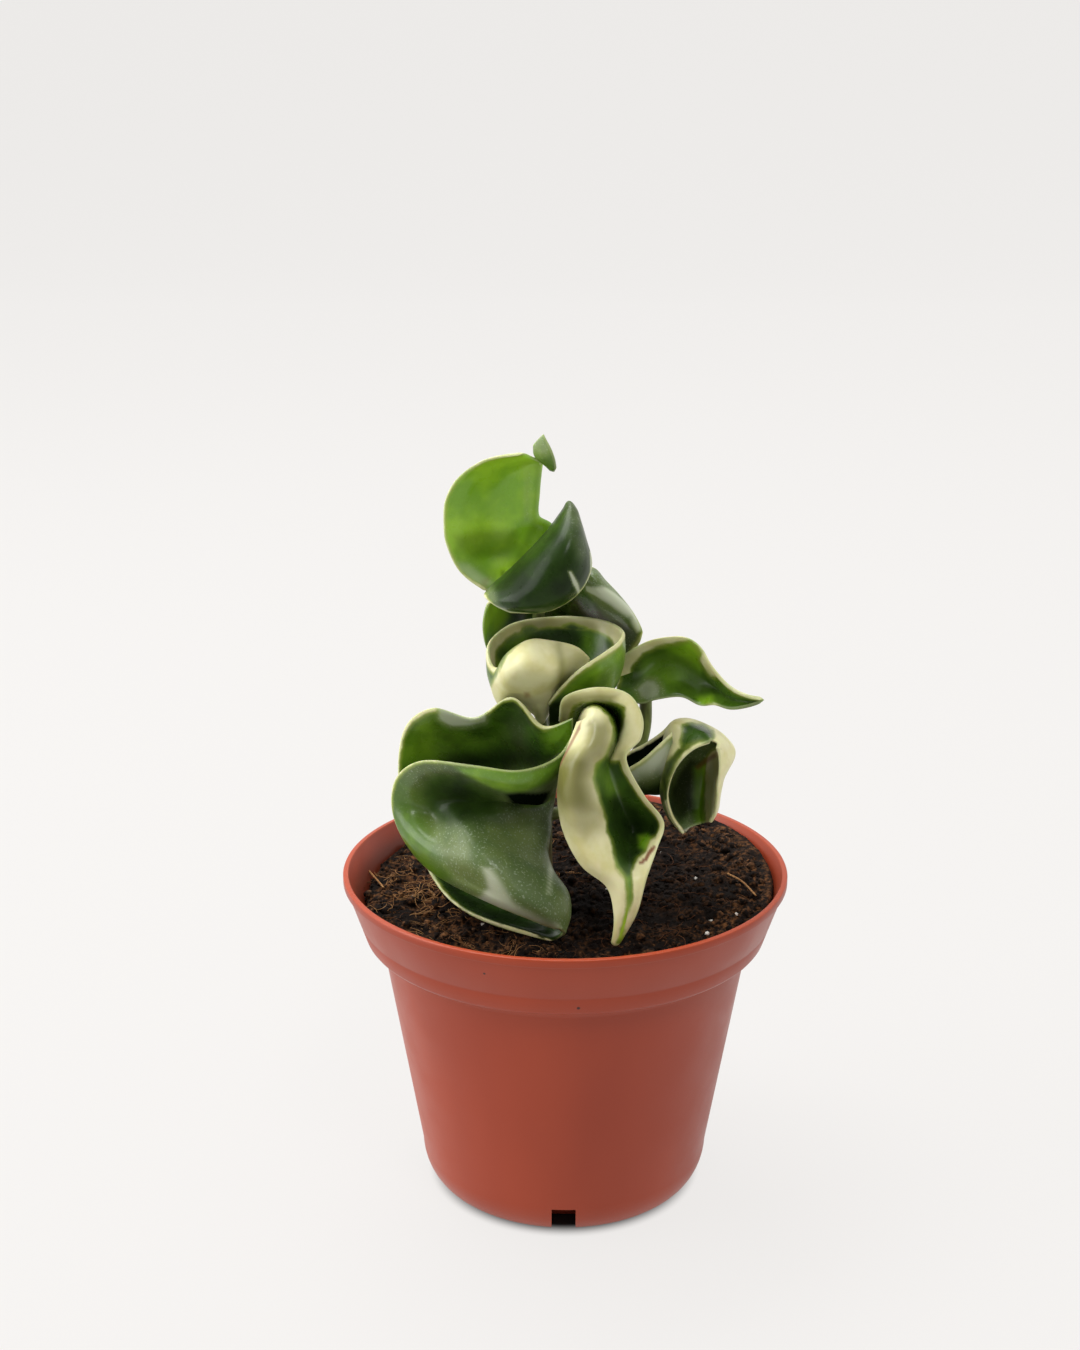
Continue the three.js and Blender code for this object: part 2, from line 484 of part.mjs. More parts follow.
const leaves = {
  leaf_left: { blades: [leftLeaf], steps: [[27, 22]], color: 0x3c5c2c },
  leaf_front: { blades: [frontLeaf], steps: [[30, 14]], color: 0x9a9a5a },
  leaf_cup: { blades: [cupLeaf], steps: [[34, 12]], color: 0xb8b070 },
  leaf_bill: { blades: [billLeaf], steps: [[18, 9]], color: 0x4c7a2a },
  leaf_right_hood: { blades: [rightHood, rightArm], steps: [[15, 14], [9, 12]], color: 0x7d8f62 },
  leaf_back: { blades: [backLeaf], steps: [[20, 10]], color: 0x3a5a34 },
  leaf_top_hood: { blades: [hoodLeaf], steps: [[16, 12]], color: 0x28421f },
  leaf_top_disc: { blades: [discLeaf, discTip], steps: [[18, 12], [7, 5]], color: 0x5e9a1e },
};

function leafGeometry({ blades, steps }, clearance = 0) {
  const sheets = blades.map((sections, k) => blade(sections, ...steps[k], clearance));
  return sheets.length > 1 ? fuse(sheets) : sheets[0];
}

const hoya = new THREE.Group();

function addPiece(name, geometry, color, roughness) {
  const material = new THREE.MeshStandardMaterial({ color, roughness, metalness: 0 });
  const mesh = new THREE.Mesh(geometry, material);
  mesh.name = name;
  hoya.add(mesh);
}

const [stemStart, ...stemRest] = stemPath;
const holePath = [[stemStart[0], stemStart[1], stemStart[2] - gap], ...stemRest];
const stemHole = rod(toVectors(holePath), stemRadius + gap, stemSteps);
const rooms = Object.values(leaves).map((leaf) => leafGeometry(leaf, leafClearance));

addPiece('pot', potGeometry(), 0x8c4535, 0.55);
addPiece('soil', soilGeometry(stemHole), 0x2a1d17, 1);
addPiece('stem', stemGeometry(rooms), 0x55602f, 0.6);
for (const [name, leaf] of Object.entries(leaves)) {
  addPiece(name, leafGeometry(leaf), leaf.color, 0.4);
}

export default hoya;
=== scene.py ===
# %% [markdown]
# # A potted rope hoya
# This lesson dresses a small hoya for a render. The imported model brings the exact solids, in
# metres, with the origin under the middle of the pot and -Y towards the viewer. Each solid is
# replaced here by a finer piece of the same form, and gets the finish of the real plant.

# %% Load the frame
import math

import bmesh
import bpy
import numpy as np
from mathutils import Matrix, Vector


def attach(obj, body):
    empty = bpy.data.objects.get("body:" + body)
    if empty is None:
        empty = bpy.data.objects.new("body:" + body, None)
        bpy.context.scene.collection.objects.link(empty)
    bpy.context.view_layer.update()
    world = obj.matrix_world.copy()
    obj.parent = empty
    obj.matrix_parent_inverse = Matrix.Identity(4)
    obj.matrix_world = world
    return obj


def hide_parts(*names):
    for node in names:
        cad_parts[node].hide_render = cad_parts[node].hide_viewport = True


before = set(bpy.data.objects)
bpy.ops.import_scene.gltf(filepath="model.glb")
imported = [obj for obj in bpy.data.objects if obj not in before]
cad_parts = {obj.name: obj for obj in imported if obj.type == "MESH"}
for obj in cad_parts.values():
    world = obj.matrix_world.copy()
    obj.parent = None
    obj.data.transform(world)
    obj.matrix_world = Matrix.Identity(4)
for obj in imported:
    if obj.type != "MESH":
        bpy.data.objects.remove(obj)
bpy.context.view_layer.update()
MM = 0.001

# %% [markdown]
# Colours are written as the sRGB hex values that a colour picker shows. Blender mixes light in
# linear values, so one function turns hex to linear. A second small function adds a shader or
# geometry node with its settings and its links, which keeps each material readable.

# %% Colour and node helpers


def hex_linear(code):
    channels = [int(code[k:k + 2], 16) / 255 for k in (1, 3, 5)]
    return [c / 12.92 if c <= 0.04045 else ((c + 0.055) / 1.055) ** 2.4 for c in channels] + [1.0]


def add_node(tree, kind, inputs=None, **settings):
    node = tree.nodes.new(kind)
    for name, value in settings.items():
        setattr(node, name, value)
    for key, value in (inputs or {}).items():
        if isinstance(value, bpy.types.NodeSocket):
            tree.links.new(value, node.inputs[key])
        else:
            node.inputs[key].default_value = value
    return node


def new_material(name):
    material = bpy.data.materials.new(name)
    material.use_nodes = True
    tree = material.node_tree
    tree.nodes.clear()
    shader = add_node(tree, "ShaderNodeBsdfPrincipled")
    add_node(tree, "ShaderNodeOutputMaterial", {"Surface": shader.outputs[0]})
    return material, tree, shader


def maths(tree, operation, *values):
    inputs = dict(enumerate(values))
    return add_node(tree, "ShaderNodeMath", inputs, operation=operation).outputs[0]


def vector_maths(tree, operation, *values):
    """A vector, or a number where the operation is LENGTH or DISTANCE."""
    node = add_node(tree, "ShaderNodeVectorMath", dict(enumerate(values)), operation=operation)
    return node.outputs["Value" if operation in ("LENGTH", "DISTANCE") else "Vector"]


def mix_colour(tree, factor, low, high):
    inputs = {0: factor, 6: low, 7: high}
    return add_node(tree, "ShaderNodeMix", inputs, data_type="RGBA").outputs[2]


def remap(tree, value, low, high, to_low=0.0, to_high=1.0):
    """A soft step from to_low to to_high while the value goes from low to high."""
    inputs = {
        "Value": value, "From Min": low, "From Max": high, "To Min": to_low, "To Max": to_high,
    }
    node = add_node(tree, "ShaderNodeMapRange", inputs, interpolation_type="SMOOTHSTEP")
    return node.outputs["Result"]


def object_place(tree):
    """Where a point lies in the piece's own coordinates, in metres."""
    return add_node(tree, "ShaderNodeTexCoord").outputs["Object"]


def height_in(tree, place):
    return add_node(tree, "ShaderNodeSeparateXYZ", {"Vector": place}).outputs["Z"]


def noise_at(tree, size_mm, detail=3.0, stretch=None):
    """A noise pattern whose blobs are about size_mm across."""
    place = object_place(tree)
    if stretch:
        place = add_node(tree, "ShaderNodeMapping", {"Vector": place, "Scale": stretch}).outputs[0]
    inputs = {"Vector": place, "Scale": 1 / (size_mm * MM), "Detail": detail}
    return add_node(tree, "ShaderNodeTexNoise", inputs).outputs["Fac"]


def bump_from(tree, height, depth_mm, strength=1.0, under=None):
    inputs = {"Height": height, "Distance": depth_mm * MM, "Strength": strength}
    if under is not None:
        inputs["Normal"] = under
    return add_node(tree, "ShaderNodeBump", inputs).outputs[0]


print("brick red in linear values", [round(value, 3) for value in hex_linear("#9C3C20")])

# %% [markdown]
# Every piece is a plain mesh in metres with its origin at the world's origin. A piece is settled
# with one call: it rides on the plant's one body, and the solids that it stands for are hidden.

# %% Piece helpers


def linked_object(name, mesh):
    piece = bpy.data.objects.new(name, mesh)
    bpy.context.scene.collection.objects.link(piece)
    return piece


def shade_smooth(piece):
    piece.data.polygons.foreach_set("use_smooth", [True] * len(piece.data.polygons))


def mesh_object(name, vertices, faces):
    mesh = bpy.data.meshes.new(name)
    mesh.from_pydata(vertices, [], faces)
    piece = linked_object(name, mesh)
    shade_smooth(piece)
    mesh.update()
    return piece


def built_object(name, build):
    """The object of a bmesh build, which is freed."""
    mesh = bpy.data.meshes.new(name)
    build.to_mesh(mesh)
    build.free()
    return linked_object(name, mesh)


def settle(piece, slot, *nodes):
    """The piece rides on the plant's one body and stands for CAD nodes. The slot is not used."""
    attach(piece, "root")
    if nodes:
        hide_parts(*nodes)
    print(piece.name, len(piece.data.polygons), "faces")

# %% [markdown]
# The camera comes before the looks, and takes the photograph's view. A lens of about 52 mm on a
# sensor 36 mm high stands 369 mm in front of the pot and 222 mm up, and looks down 17 degrees.
# The values come from the ellipse of the rim, the collar's edge and the foot, which only fit
# together from one place.

# %% Camera
EYE_DISTANCE = 369.2
EYE_HEIGHT = 222.2
EYE_PITCH = math.radians(17.12)
EYE_YAW = math.radians(0.79)
LENS = 52.15
SENSOR = 36.0

camera_data = bpy.data.cameras.new("camera")
camera_data.lens = LENS
camera_data.sensor_fit = "VERTICAL"
camera_data.sensor_height = SENSOR
camera = bpy.data.objects.new("camera", camera_data)
camera.location = (0, -EYE_DISTANCE * MM, EYE_HEIGHT * MM)
camera.rotation_euler = (math.pi / 2 - EYE_PITCH, 0, EYE_YAW)
bpy.context.scene.collection.objects.link(camera)
bpy.context.scene.camera = camera
print("camera at", [round(value, 4) for value in camera.location], "m")

# %% [markdown]
# ## The pot
# A nursery pot is injection moulded from coloured polypropylene. It is turned in shape, so a
# profile swept round the axis gives it: a recessed underside with a foot ring, a soft bottom
# corner, a tapering wall, a ledge out to a collar and a thin lip. The solid has 60 flat sides.
# Here the same profile gets 240, with the small roundings that a mould leaves.

# %% Pot sizes
POT_HEIGHT = 68.0
RIM_RADIUS = 45.0
LIP_HEIGHT = 1.6
LIP_STEP = 0.6
LIP_UNDERSIDE = 0.4
COLLAR_RADIUS = 40.9
COLLAR_BOTTOM = 55.6
MOULD_LINE_HEIGHT = 58.6
WALL_TOP_RADIUS = 37.4
WALL_TOP_HEIGHT = 53.4
LEDGE_RISE = 0.8
CORNER_RADIUS = 8.0
CORNER_EDGE_RADIUS = 29.8
CORNER_STEPS = 12
FOOT_RADIUS = 24.6
FOOT_INNER_RADIUS = 19.0
FOOT_RECESS = 1.2
FOOT_BEVEL = 1.0
WALL_THICKNESS = 1.2
FLOOR_THICKNESS = 1.6
POT_SIDES = 240
NOTCH_COUNT = 4
NOTCH_WIDTH = 4.8
NOTCH_HEIGHT = 6.6
NOTCH_INNER_RADIUS = 20.6

INNER_TOP = COLLAR_BOTTOM + LEDGE_RISE
INNER_LEDGE = WALL_TOP_HEIGHT + LEDGE_RISE
WALL_HEIGHTS = [CORNER_RADIUS, INNER_LEDGE, INNER_TOP, POT_HEIGHT]
WALL_RADII = [
    radius - WALL_THICKNESS
    for radius in (CORNER_EDGE_RADIUS, WALL_TOP_RADIUS, COLLAR_RADIUS, RIM_RADIUS)
]


def inner_radius_at(height):
    return float(np.interp(height, WALL_HEIGHTS, WALL_RADII))


def collar_radius_at(height):
    heights = (COLLAR_BOTTOM, POT_HEIGHT - LIP_HEIGHT - LIP_UNDERSIDE)
    return float(np.interp(height, heights, (COLLAR_RADIUS, RIM_RADIUS - LIP_STEP)))


print("inside radius at the rim", inner_radius_at(POT_HEIGHT), "mm")

# %% [markdown]
# A mould can't leave a sharp corner, so each corner of the profile is a run of small steps. A
# step is written as [out, up] in millimetres from the corner. The mould line is a shallow groove
# round the collar, written as [up, in].

# %% Pot profile
LEDGE_ROUNDING = ((-0.15, -1.0), (0.08, -0.1), (0.5, 0.3))
BEAD_ROUNDING = ((-0.5, -0.8), (-0.08, -0.25), (0.0, 0.0))
BEAD_TOP = 0.3
BEAD_SWELL = 0.02
MOULD_LINE = ((-0.5, 0.0), (-0.2, 0.12), (0.2, 0.12), (0.5, 0.0))
LIP_ROUNDING = ((-0.5, -0.12), (-0.12, -0.02), (0.0, 0.15))
RIM_ROUNDING = ((0.0, -0.3), (-0.09, -0.09), (-0.3, 0.0))
INNER_ROUNDING = ((0.2, 0.0), (0.0, -0.2))


def rounded_corner(radius, height, steps):
    return [(radius + out, height + up) for out, up in steps]


def pot_profile():
    outer = [(0, FOOT_RECESS), (FOOT_INNER_RADIUS, FOOT_RECESS)]
    outer.append((FOOT_INNER_RADIUS + FOOT_BEVEL, 0))
    for turn in np.linspace(0, math.pi / 2, CORNER_STEPS):
        radius = FOOT_RADIUS + (CORNER_EDGE_RADIUS - FOOT_RADIUS) * math.sin(turn)
        outer.append((radius, CORNER_RADIUS * (1 - math.cos(turn))))
    outer += rounded_corner(WALL_TOP_RADIUS, WALL_TOP_HEIGHT, LEDGE_ROUNDING)
    outer += rounded_corner(COLLAR_RADIUS, COLLAR_BOTTOM, BEAD_ROUNDING)
    bead_top = COLLAR_BOTTOM + BEAD_TOP
    outer.append((collar_radius_at(bead_top) + BEAD_SWELL, bead_top))
    for rise, depth in MOULD_LINE:
        height = MOULD_LINE_HEIGHT + rise
        outer.append((collar_radius_at(height) - depth, height))
    lip_bottom = POT_HEIGHT - LIP_HEIGHT
    lip_underside = lip_bottom - LIP_UNDERSIDE
    outer.append((collar_radius_at(lip_underside), lip_underside))
    outer += rounded_corner(RIM_RADIUS, lip_bottom, LIP_ROUNDING)
    outer += rounded_corner(RIM_RADIUS, POT_HEIGHT, RIM_ROUNDING)
    inner = rounded_corner(RIM_RADIUS - WALL_THICKNESS, POT_HEIGHT, INNER_ROUNDING)
    for height in (INNER_TOP, INNER_LEDGE, CORNER_RADIUS):
        inner.append((inner_radius_at(height), height))
    floor_top = FOOT_RECESS + FLOOR_THICKNESS
    return outer + inner + [(FOOT_RADIUS, floor_top), (0, floor_top)]


print("pot profile", len(pot_profile()), "points")

# %% [markdown]
# The profile becomes rings of vertices, and each ring is joined to the next. A profile point on
# the axis is a single pole vertex. The drain notches are cut with an exact Boolean, which is
# applied, so that only a plain mesh is left.

# %% Turned pieces and the pot
SHARP_FROM = math.radians(38)


def turned(name, profile, sides):
    vertices = []
    rings = []
    for radius, height in profile:
        first = len(vertices)
        if radius == 0:
            vertices.append((0, 0, height * MM))
            rings.append([first] * sides)
            continue
        reach = radius * MM
        for k in range(sides):
            angle = 2 * math.pi * k / sides
            vertices.append((reach * math.cos(angle), reach * math.sin(angle), height * MM))
        rings.append(list(range(first, first + sides)))
    faces = []
    for low, high in zip(rings, rings[1:]):
        for k in range(sides):
            n = (k + 1) % sides
            faces.append(list(dict.fromkeys([low[k], low[n], high[n], high[k]])))
    return mesh_object(name, vertices, faces)


def apply_modifiers(piece):
    """Turns what the modifiers make into a plain mesh, and removes them."""
    depsgraph = bpy.context.evaluated_depsgraph_get()
    mesh = bpy.data.meshes.new_from_object(piece.evaluated_get(depsgraph))
    piece.modifiers.clear()
    piece.data = mesh
    mesh.name = piece.name
    shade_smooth(piece)


def notch_cutter():
    build = bmesh.new()
    depth = RIM_RADIUS - NOTCH_INNER_RADIUS
    size = (NOTCH_WIDTH * MM, depth * MM, 2 * NOTCH_HEIGHT * MM)
    for k in range(NOTCH_COUNT):
        made = bmesh.ops.create_cube(build, size=1.0)["verts"]
        bmesh.ops.scale(build, vec=size, verts=made)
        bmesh.ops.translate(build, vec=(0, -(NOTCH_INNER_RADIUS + depth / 2) * MM, 0), verts=made)
        angle = k * 2 * math.pi / NOTCH_COUNT
        turn = (math.cos(angle), math.sin(angle))
        for vertex in made:
            x, y, z = vertex.co
            vertex.co = (x * turn[0] - y * turn[1], x * turn[1] + y * turn[0], z)
    return built_object("notch_cutter", build)


pot = turned("pot_shell", pot_profile(), POT_SIDES)
cutter = notch_cutter()
cut = pot.modifiers.new("notches", "BOOLEAN")
cut.operation = "DIFFERENCE"
cut.solver = "EXACT"
cut.object = cutter
apply_modifiers(pot)
bpy.data.objects.remove(cutter)
pot.data.set_sharp_from_angle(angle=SHARP_FROM)
print("pot", len(pot.data.vertices), "vertices after the notches")

# %% [markdown]
# Polypropylene pots are moulded with a satin skin: a soft broad highlight, a faint grain from the
# mould, and a colour that is even but for slight flow marks. The colour is brick red. At the
# rim's edge, where the wall is thin, light shines through a little, and that light is painted as
# a turn from red to orange. Two grains of soil cling to the collar. Just below the rim, the
# inside is darkened by painted shade. The IOR is that of polypropylene, 1.49.

# %% Pot finish
POT_RED = hex_linear("#9C3C20")
POT_RED_DEEP = hex_linear("#92361C")
POT_RIM_GLOW = hex_linear("#A23E1C")
POT_GRIT = hex_linear("#3A1A12")
INSIDE_SHADE = hex_linear("#6A2C1A")
RIM_GLOW_DEPTH = 0.5
INSIDE_SHADE_FROM = 1.0
INSIDE_SHADE_TO = 5.5
INSIDE_SHADE_EDGE = 0.3
GRITS = ((-14.8, 63.4, 0.3), (2.6, 56.6, 0.4))
GRIT_CORE = 0.6
FLOW_SIZE = 24
FLOW_STRETCH = (1, 1, 0.35)
FLOW_EDGES = (0.3, 0.7)
SATIN_SIZE = 9
SATIN_ROUGHNESS = (0.34, 0.42)
MOULD_GRAIN_SIZE = 0.35
MOULD_GRAIN_DEPTH = 0.02
POLYPROPYLENE_IOR = 1.49
POLYPROPYLENE_SHINE = 0.34


def paint_inside_shade(tree, place, height, colour):
    """Paints shade on the inside above the ledge. Inside is inward of the collar's middle surface.
    """
    flare = (RIM_RADIUS - LIP_STEP - COLLAR_RADIUS) / (POT_HEIGHT - LIP_HEIGHT - COLLAR_BOTTOM)
    start = COLLAR_RADIUS - flare * COLLAR_BOTTOM - WALL_THICKNESS / 2
    middle = maths(tree, "MULTIPLY_ADD", height, flare, start * MM)
    radius = vector_maths(tree, "LENGTH", vector_maths(tree, "MULTIPLY", place, (1, 1, 0)))
    inward = remap(tree, maths(tree, "SUBTRACT", middle, radius), 0.0, INSIDE_SHADE_EDGE * MM)
    above = remap(tree, height, INNER_TOP * MM, (INNER_TOP + LEDGE_RISE) * MM)
    below = remap(tree, height, (POT_HEIGHT - INSIDE_SHADE_FROM) * MM, (POT_HEIGHT - INSIDE_SHADE_TO) * MM)
    inside_shaded = maths(tree, "MULTIPLY", maths(tree, "MULTIPLY", inward, above), below)
    return mix_colour(tree, inside_shaded, colour, INSIDE_SHADE)


def satin_polypropylene():
    material, tree, shader = new_material("satin_polypropylene_brick_red")
    place = object_place(tree)
    height = height_in(tree, place)
    flow = remap(tree, noise_at(tree, FLOW_SIZE, 2.0, FLOW_STRETCH), *FLOW_EDGES)
    colour = mix_colour(tree, flow, POT_RED, POT_RED_DEEP)
    # Painted shade on the inside, just below the rim.
    colour = paint_inside_shade(tree, place, height, colour)
    # Painted light: the thin rim turns orange where light shines through it.
    rim_glow = remap(tree, height, (POT_HEIGHT - RIM_GLOW_DEPTH) * MM, POT_HEIGHT * MM)
    colour = mix_colour(tree, rim_glow, colour, POT_RIM_GLOW)
    level = vector_maths(tree, "MULTIPLY", place, (1, 0, 1))
    for right, up, radius in GRITS:
        away = vector_maths(tree, "DISTANCE", level, (right * MM, 0, up * MM))
        grit = remap(tree, away, radius * MM, GRIT_CORE * radius * MM)
        colour = mix_colour(tree, grit, colour, POT_GRIT)
    tree.links.new(colour, shader.inputs["Base Color"])
    shader.inputs["IOR"].default_value = POLYPROPYLENE_IOR
    shader.inputs["Specular IOR Level"].default_value = POLYPROPYLENE_SHINE
    haze = remap(tree, noise_at(tree, SATIN_SIZE, 4.0), *FLOW_EDGES, *SATIN_ROUGHNESS)
    tree.links.new(haze, shader.inputs["Roughness"])
    grain = bump_from(tree, noise_at(tree, MOULD_GRAIN_SIZE, 2.0), MOULD_GRAIN_DEPTH, 0.5)
    tree.links.new(grain, shader.inputs["Normal"])
    return material


pot.data.materials.clear()
pot.data.materials.append(satin_polypropylene())
settle(pot, "pot", "pot")

# %% [markdown]
# ## The soil
# The fill is damp peat with coir, the fibre of coconut husks. Its surface is lumpy, so a disc of
# rings is raised and lowered by layered noise. It lies higher at the right and at the back. Below
# the surface it is a plain closed body, which keeps clear of the pot's wall.

# %% Soil bed
SOIL_HEIGHT = 63.4
SOIL_RISE_RIGHT = 2.4
SOIL_RISE_BACK = 3.4
SOIL_EDGE_DROP = 1.0
SOIL_SIDES = 200
SOIL_RINGS = 90
CLEARANCE = 0.3
EDGE_EASE = 2.0
LUMP_HEIGHT = 0.875
LUMP_LIMITS = (-1.2, 1.5)
LUMP_WAVES = ((17, 0.45, 5), (6.5, 0.4, 7), (2.6, 0.3, 9), (1.1, 0.16, 9))
LUMP_SEED = 3


def layered_waves(x, y, seed, layers):
    """Sums waves that run in random directions. Each layer is (wavelength mm, share, count)."""
    draw = np.random.default_rng(seed)
    total = np.zeros_like(x)
    for wavelength, share, count in layers:
        for _ in range(count):
            angle, phase = draw.uniform(0, 2 * math.pi, 2)
            pitch = 2 * math.pi / (wavelength * draw.uniform(0.7, 1.3))
            travel = x * math.cos(angle) + y * math.sin(angle)
            total += share / count ** 0.5 * np.sin(pitch * travel + phase)
    return total


def lumps_at(x, y):
    """How far the lumps rise above the soil's level, in mm."""
    return LUMP_HEIGHT * np.clip(layered_waves(x, y, LUMP_SEED, LUMP_WAVES), *LUMP_LIMITS)


def soil_bed():
    bottom = FOOT_RECESS + FLOOR_THICKNESS + CLEARANCE
    top_height = SOIL_HEIGHT - SOIL_EDGE_DROP
    top_radius = inner_radius_at(top_height) - CLEARANCE
    profile = [
        (0, bottom),
        (FOOT_RADIUS - FOOT_BEVEL, bottom),
        (inner_radius_at(CORNER_RADIUS) - 2 * CLEARANCE, CORNER_RADIUS + CLEARANCE),
    ]
    for height in (INNER_LEDGE, INNER_TOP):
        profile.append((inner_radius_at(height) - CLEARANCE, height + CLEARANCE))
    profile.append((top_radius, top_height))
    fixed = len(profile) - 1
    rings = range(SOIL_RINGS - 1, -1, -1)
    profile += [(top_radius * ring / SOIL_RINGS, SOIL_HEIGHT) for ring in rings]
    bed = turned("soil_bed", profile, SOIL_SIDES)
    points = np.zeros(len(bed.data.vertices) * 3)
    bed.data.vertices.foreach_get("co", points)
    points = points.reshape(-1, 3)
    top = np.arange(len(points)) > (fixed - 1) * SOIL_SIDES
    x, y = points[top, 0] / MM, points[top, 1] / MM
    near_edge = np.clip((top_radius - np.hypot(x, y)) / EDGE_EASE, 0, 1)
    lean = (SOIL_RISE_RIGHT * x + SOIL_RISE_BACK * y) / top_radius
    walls = np.interp(top_height + lean, WALL_HEIGHTS, WALL_RADII) - CLEARANCE
    points[top, :2] *= (walls / top_radius)[:, None]
    points[top, 2] += (lean + lumps_at(x, y) * near_edge) * MM
    bed.data.vertices.foreach_set("co", points.ravel())
    bed.data.update()
    print("soil's highest point", round(float(points[:, 2].max()) / MM, 2), "mm")
    return bed


# %% [markdown]
# Damp peat is nearly black, with red-brown where it has dried, and it doesn't shine but for tiny
# wet glints. Its colour goes in patches of 6 mm and grains of 0.9 mm, and its bump is 0.5 mm
# fine. The soil is darker towards the middle, under the leaves, and that is painted shade.

# %% Soil finishes
PEAT_BLACK = hex_linear("#120B07")
PEAT_BROWN = hex_linear("#6E4829")
CRUMB_BROWN = hex_linear("#7E5636")
COIR_TAN = hex_linear("#9A7048")
COIR_TAN_LIGHT = hex_linear("#B98F5F")
COIR_BROWN = hex_linear("#553520")
COIR_BROWN_LIGHT = hex_linear("#7A5536")
PERLITE = hex_linear("#D8D2C8")
PERLITE_LIGHT = hex_linear("#EFEBE4")
SOIL_SHADE_MIDDLE = 6.0
SOIL_SHADE_FROM = 17.0
SOIL_SHADE_TO = 36.0
SOIL_SHADE_SHARE = 0.25
PATCH_EDGES = (0.40, 0.60)
COLOUR_GRAIN_SIZE = 0.9
COLOUR_GRAIN_EDGES = (0.4, 0.72)
BUMP_GRAIN_SIZE = 0.5
BUMP_GRAIN_DEPTH = 0.5
PEAT_ROUGHNESS = 0.85
PEAT_SHINE = 0.12


def damp_peat(name, dark, light, patch_size):
    material, tree, shader = new_material(name)
    patches = remap(tree, noise_at(tree, patch_size, 4.0), *PATCH_EDGES)
    grains = remap(tree, noise_at(tree, COLOUR_GRAIN_SIZE, 4.0), *COLOUR_GRAIN_EDGES)
    # Painted shade: the soil darkens towards the middle, under the leaves.
    middle = (SOIL_SHADE_MIDDLE * MM, 0, SOIL_HEIGHT * MM)
    away = vector_maths(tree, "DISTANCE", object_place(tree), middle)
    out_of_shade = remap(tree, away, SOIL_SHADE_FROM * MM, SOIL_SHADE_TO * MM, SOIL_SHADE_SHARE, 1.0)
    lit = maths(tree, "MULTIPLY", maths(tree, "MULTIPLY", patches, grains), out_of_shade)
    tree.links.new(mix_colour(tree, lit, dark, light), shader.inputs["Base Color"])
    shader.inputs["Roughness"].default_value = PEAT_ROUGHNESS
    shader.inputs["Specular IOR Level"].default_value = PEAT_SHINE
    rough = bump_from(tree, noise_at(tree, BUMP_GRAIN_SIZE, 5.0), BUMP_GRAIN_DEPTH, 0.8)
    tree.links.new(rough, shader.inputs["Normal"])
    return material


peat = damp_peat("damp_peat", PEAT_BLACK, PEAT_BROWN, patch_size=6.0)
crumb_peat = damp_peat("crumbled_peat", PEAT_BLACK, CRUMB_BROWN, patch_size=3.0)
coir_dark = damp_peat("coir_fibre_brown", COIR_BROWN, COIR_BROWN_LIGHT, patch_size=5.0)
coir_tan = damp_peat("coir_fibre_tan", COIR_TAN, COIR_TAN_LIGHT, patch_size=5.0)
perlite = damp_peat("perlite", PERLITE, PERLITE_LIGHT, patch_size=2.0)

bed = soil_bed()
bed.data.materials.append(peat)
settle(bed, "soil", "soil")

# %% [markdown]
# Crumbs, fibres and bits of perlite repeat in their hundreds, so Geometry Nodes scatter them over
# the top of the bed: points on its faces, one small shape on each, turned and scaled at random
# with a fixed seed. The instances are made real and given their material, because the export
# drops instances. Each shape has about a hundred faces.

# %% Scatter tree


def scatter_tree(name, material):
    tree = bpy.data.node_groups.new(name, "GeometryNodeTree")
    sockets = (
        ("Geometry", "INPUT", "NodeSocketGeometry", None),
        ("Shape", "INPUT", "NodeSocketObject", None),
        ("Per Square Metre", "INPUT", "NodeSocketFloat", 1.0e5),
        ("Smallest", "INPUT", "NodeSocketFloat", 0.5),
        ("Largest", "INPUT", "NodeSocketFloat", 1.0),
        ("Tilt", "INPUT", "NodeSocketFloat", 0.3),
        ("Seed", "INPUT", "NodeSocketInt", 0),
        ("Geometry", "OUTPUT", "NodeSocketGeometry", None),
    )
    for label, direction, kind, value in sockets:
        socket = tree.interface.new_socket(name=label, in_out=direction, socket_type=kind)
        if value is not None:
            socket.default_value = value
    given = add_node(tree, "NodeGroupInput").outputs
    seed, tilt = given["Seed"], given["Tilt"]
    ground = {"Mesh": given["Geometry"], "Density": given["Per Square Metre"], "Seed": seed}
    points = add_node(tree, "GeometryNodeDistributePointsOnFaces", ground)
    back = maths(tree, "MULTIPLY", tilt, -1.0)
    lowest, highest = (
        add_node(tree, "ShaderNodeCombineXYZ", {"X": lean, "Y": lean, "Z": turn}).outputs[0]
        for lean, turn in ((back, -math.pi), (tilt, math.pi))
    )
    turns = {0: lowest, 1: highest, "Seed": seed}
    turn = add_node(tree, "FunctionNodeRandomValue", turns, data_type="FLOAT_VECTOR")
    sizes = {2: given["Smallest"], 3: given["Largest"], "Seed": seed}
    size = add_node(tree, "FunctionNodeRandomValue", sizes, data_type="FLOAT")
    shape = add_node(tree, "GeometryNodeObjectInfo", {"Object": given["Shape"]})
    stamp = add_node(tree, "GeometryNodeInstanceOnPoints", {
        "Points": points.outputs["Points"], "Instance": shape.outputs["Geometry"],
        "Rotation": turn.outputs[0], "Scale": size.outputs[1],
    })
    real = add_node(tree, "GeometryNodeRealizeInstances", {"Geometry": stamp.outputs[0]})
    finish = {"Geometry": real.outputs[0], "Material": material}
    finished = add_node(tree, "GeometryNodeSetMaterial", finish)
    add_node(tree, "NodeGroupOutput", {"Geometry": finished.outputs[0]})
    return tree


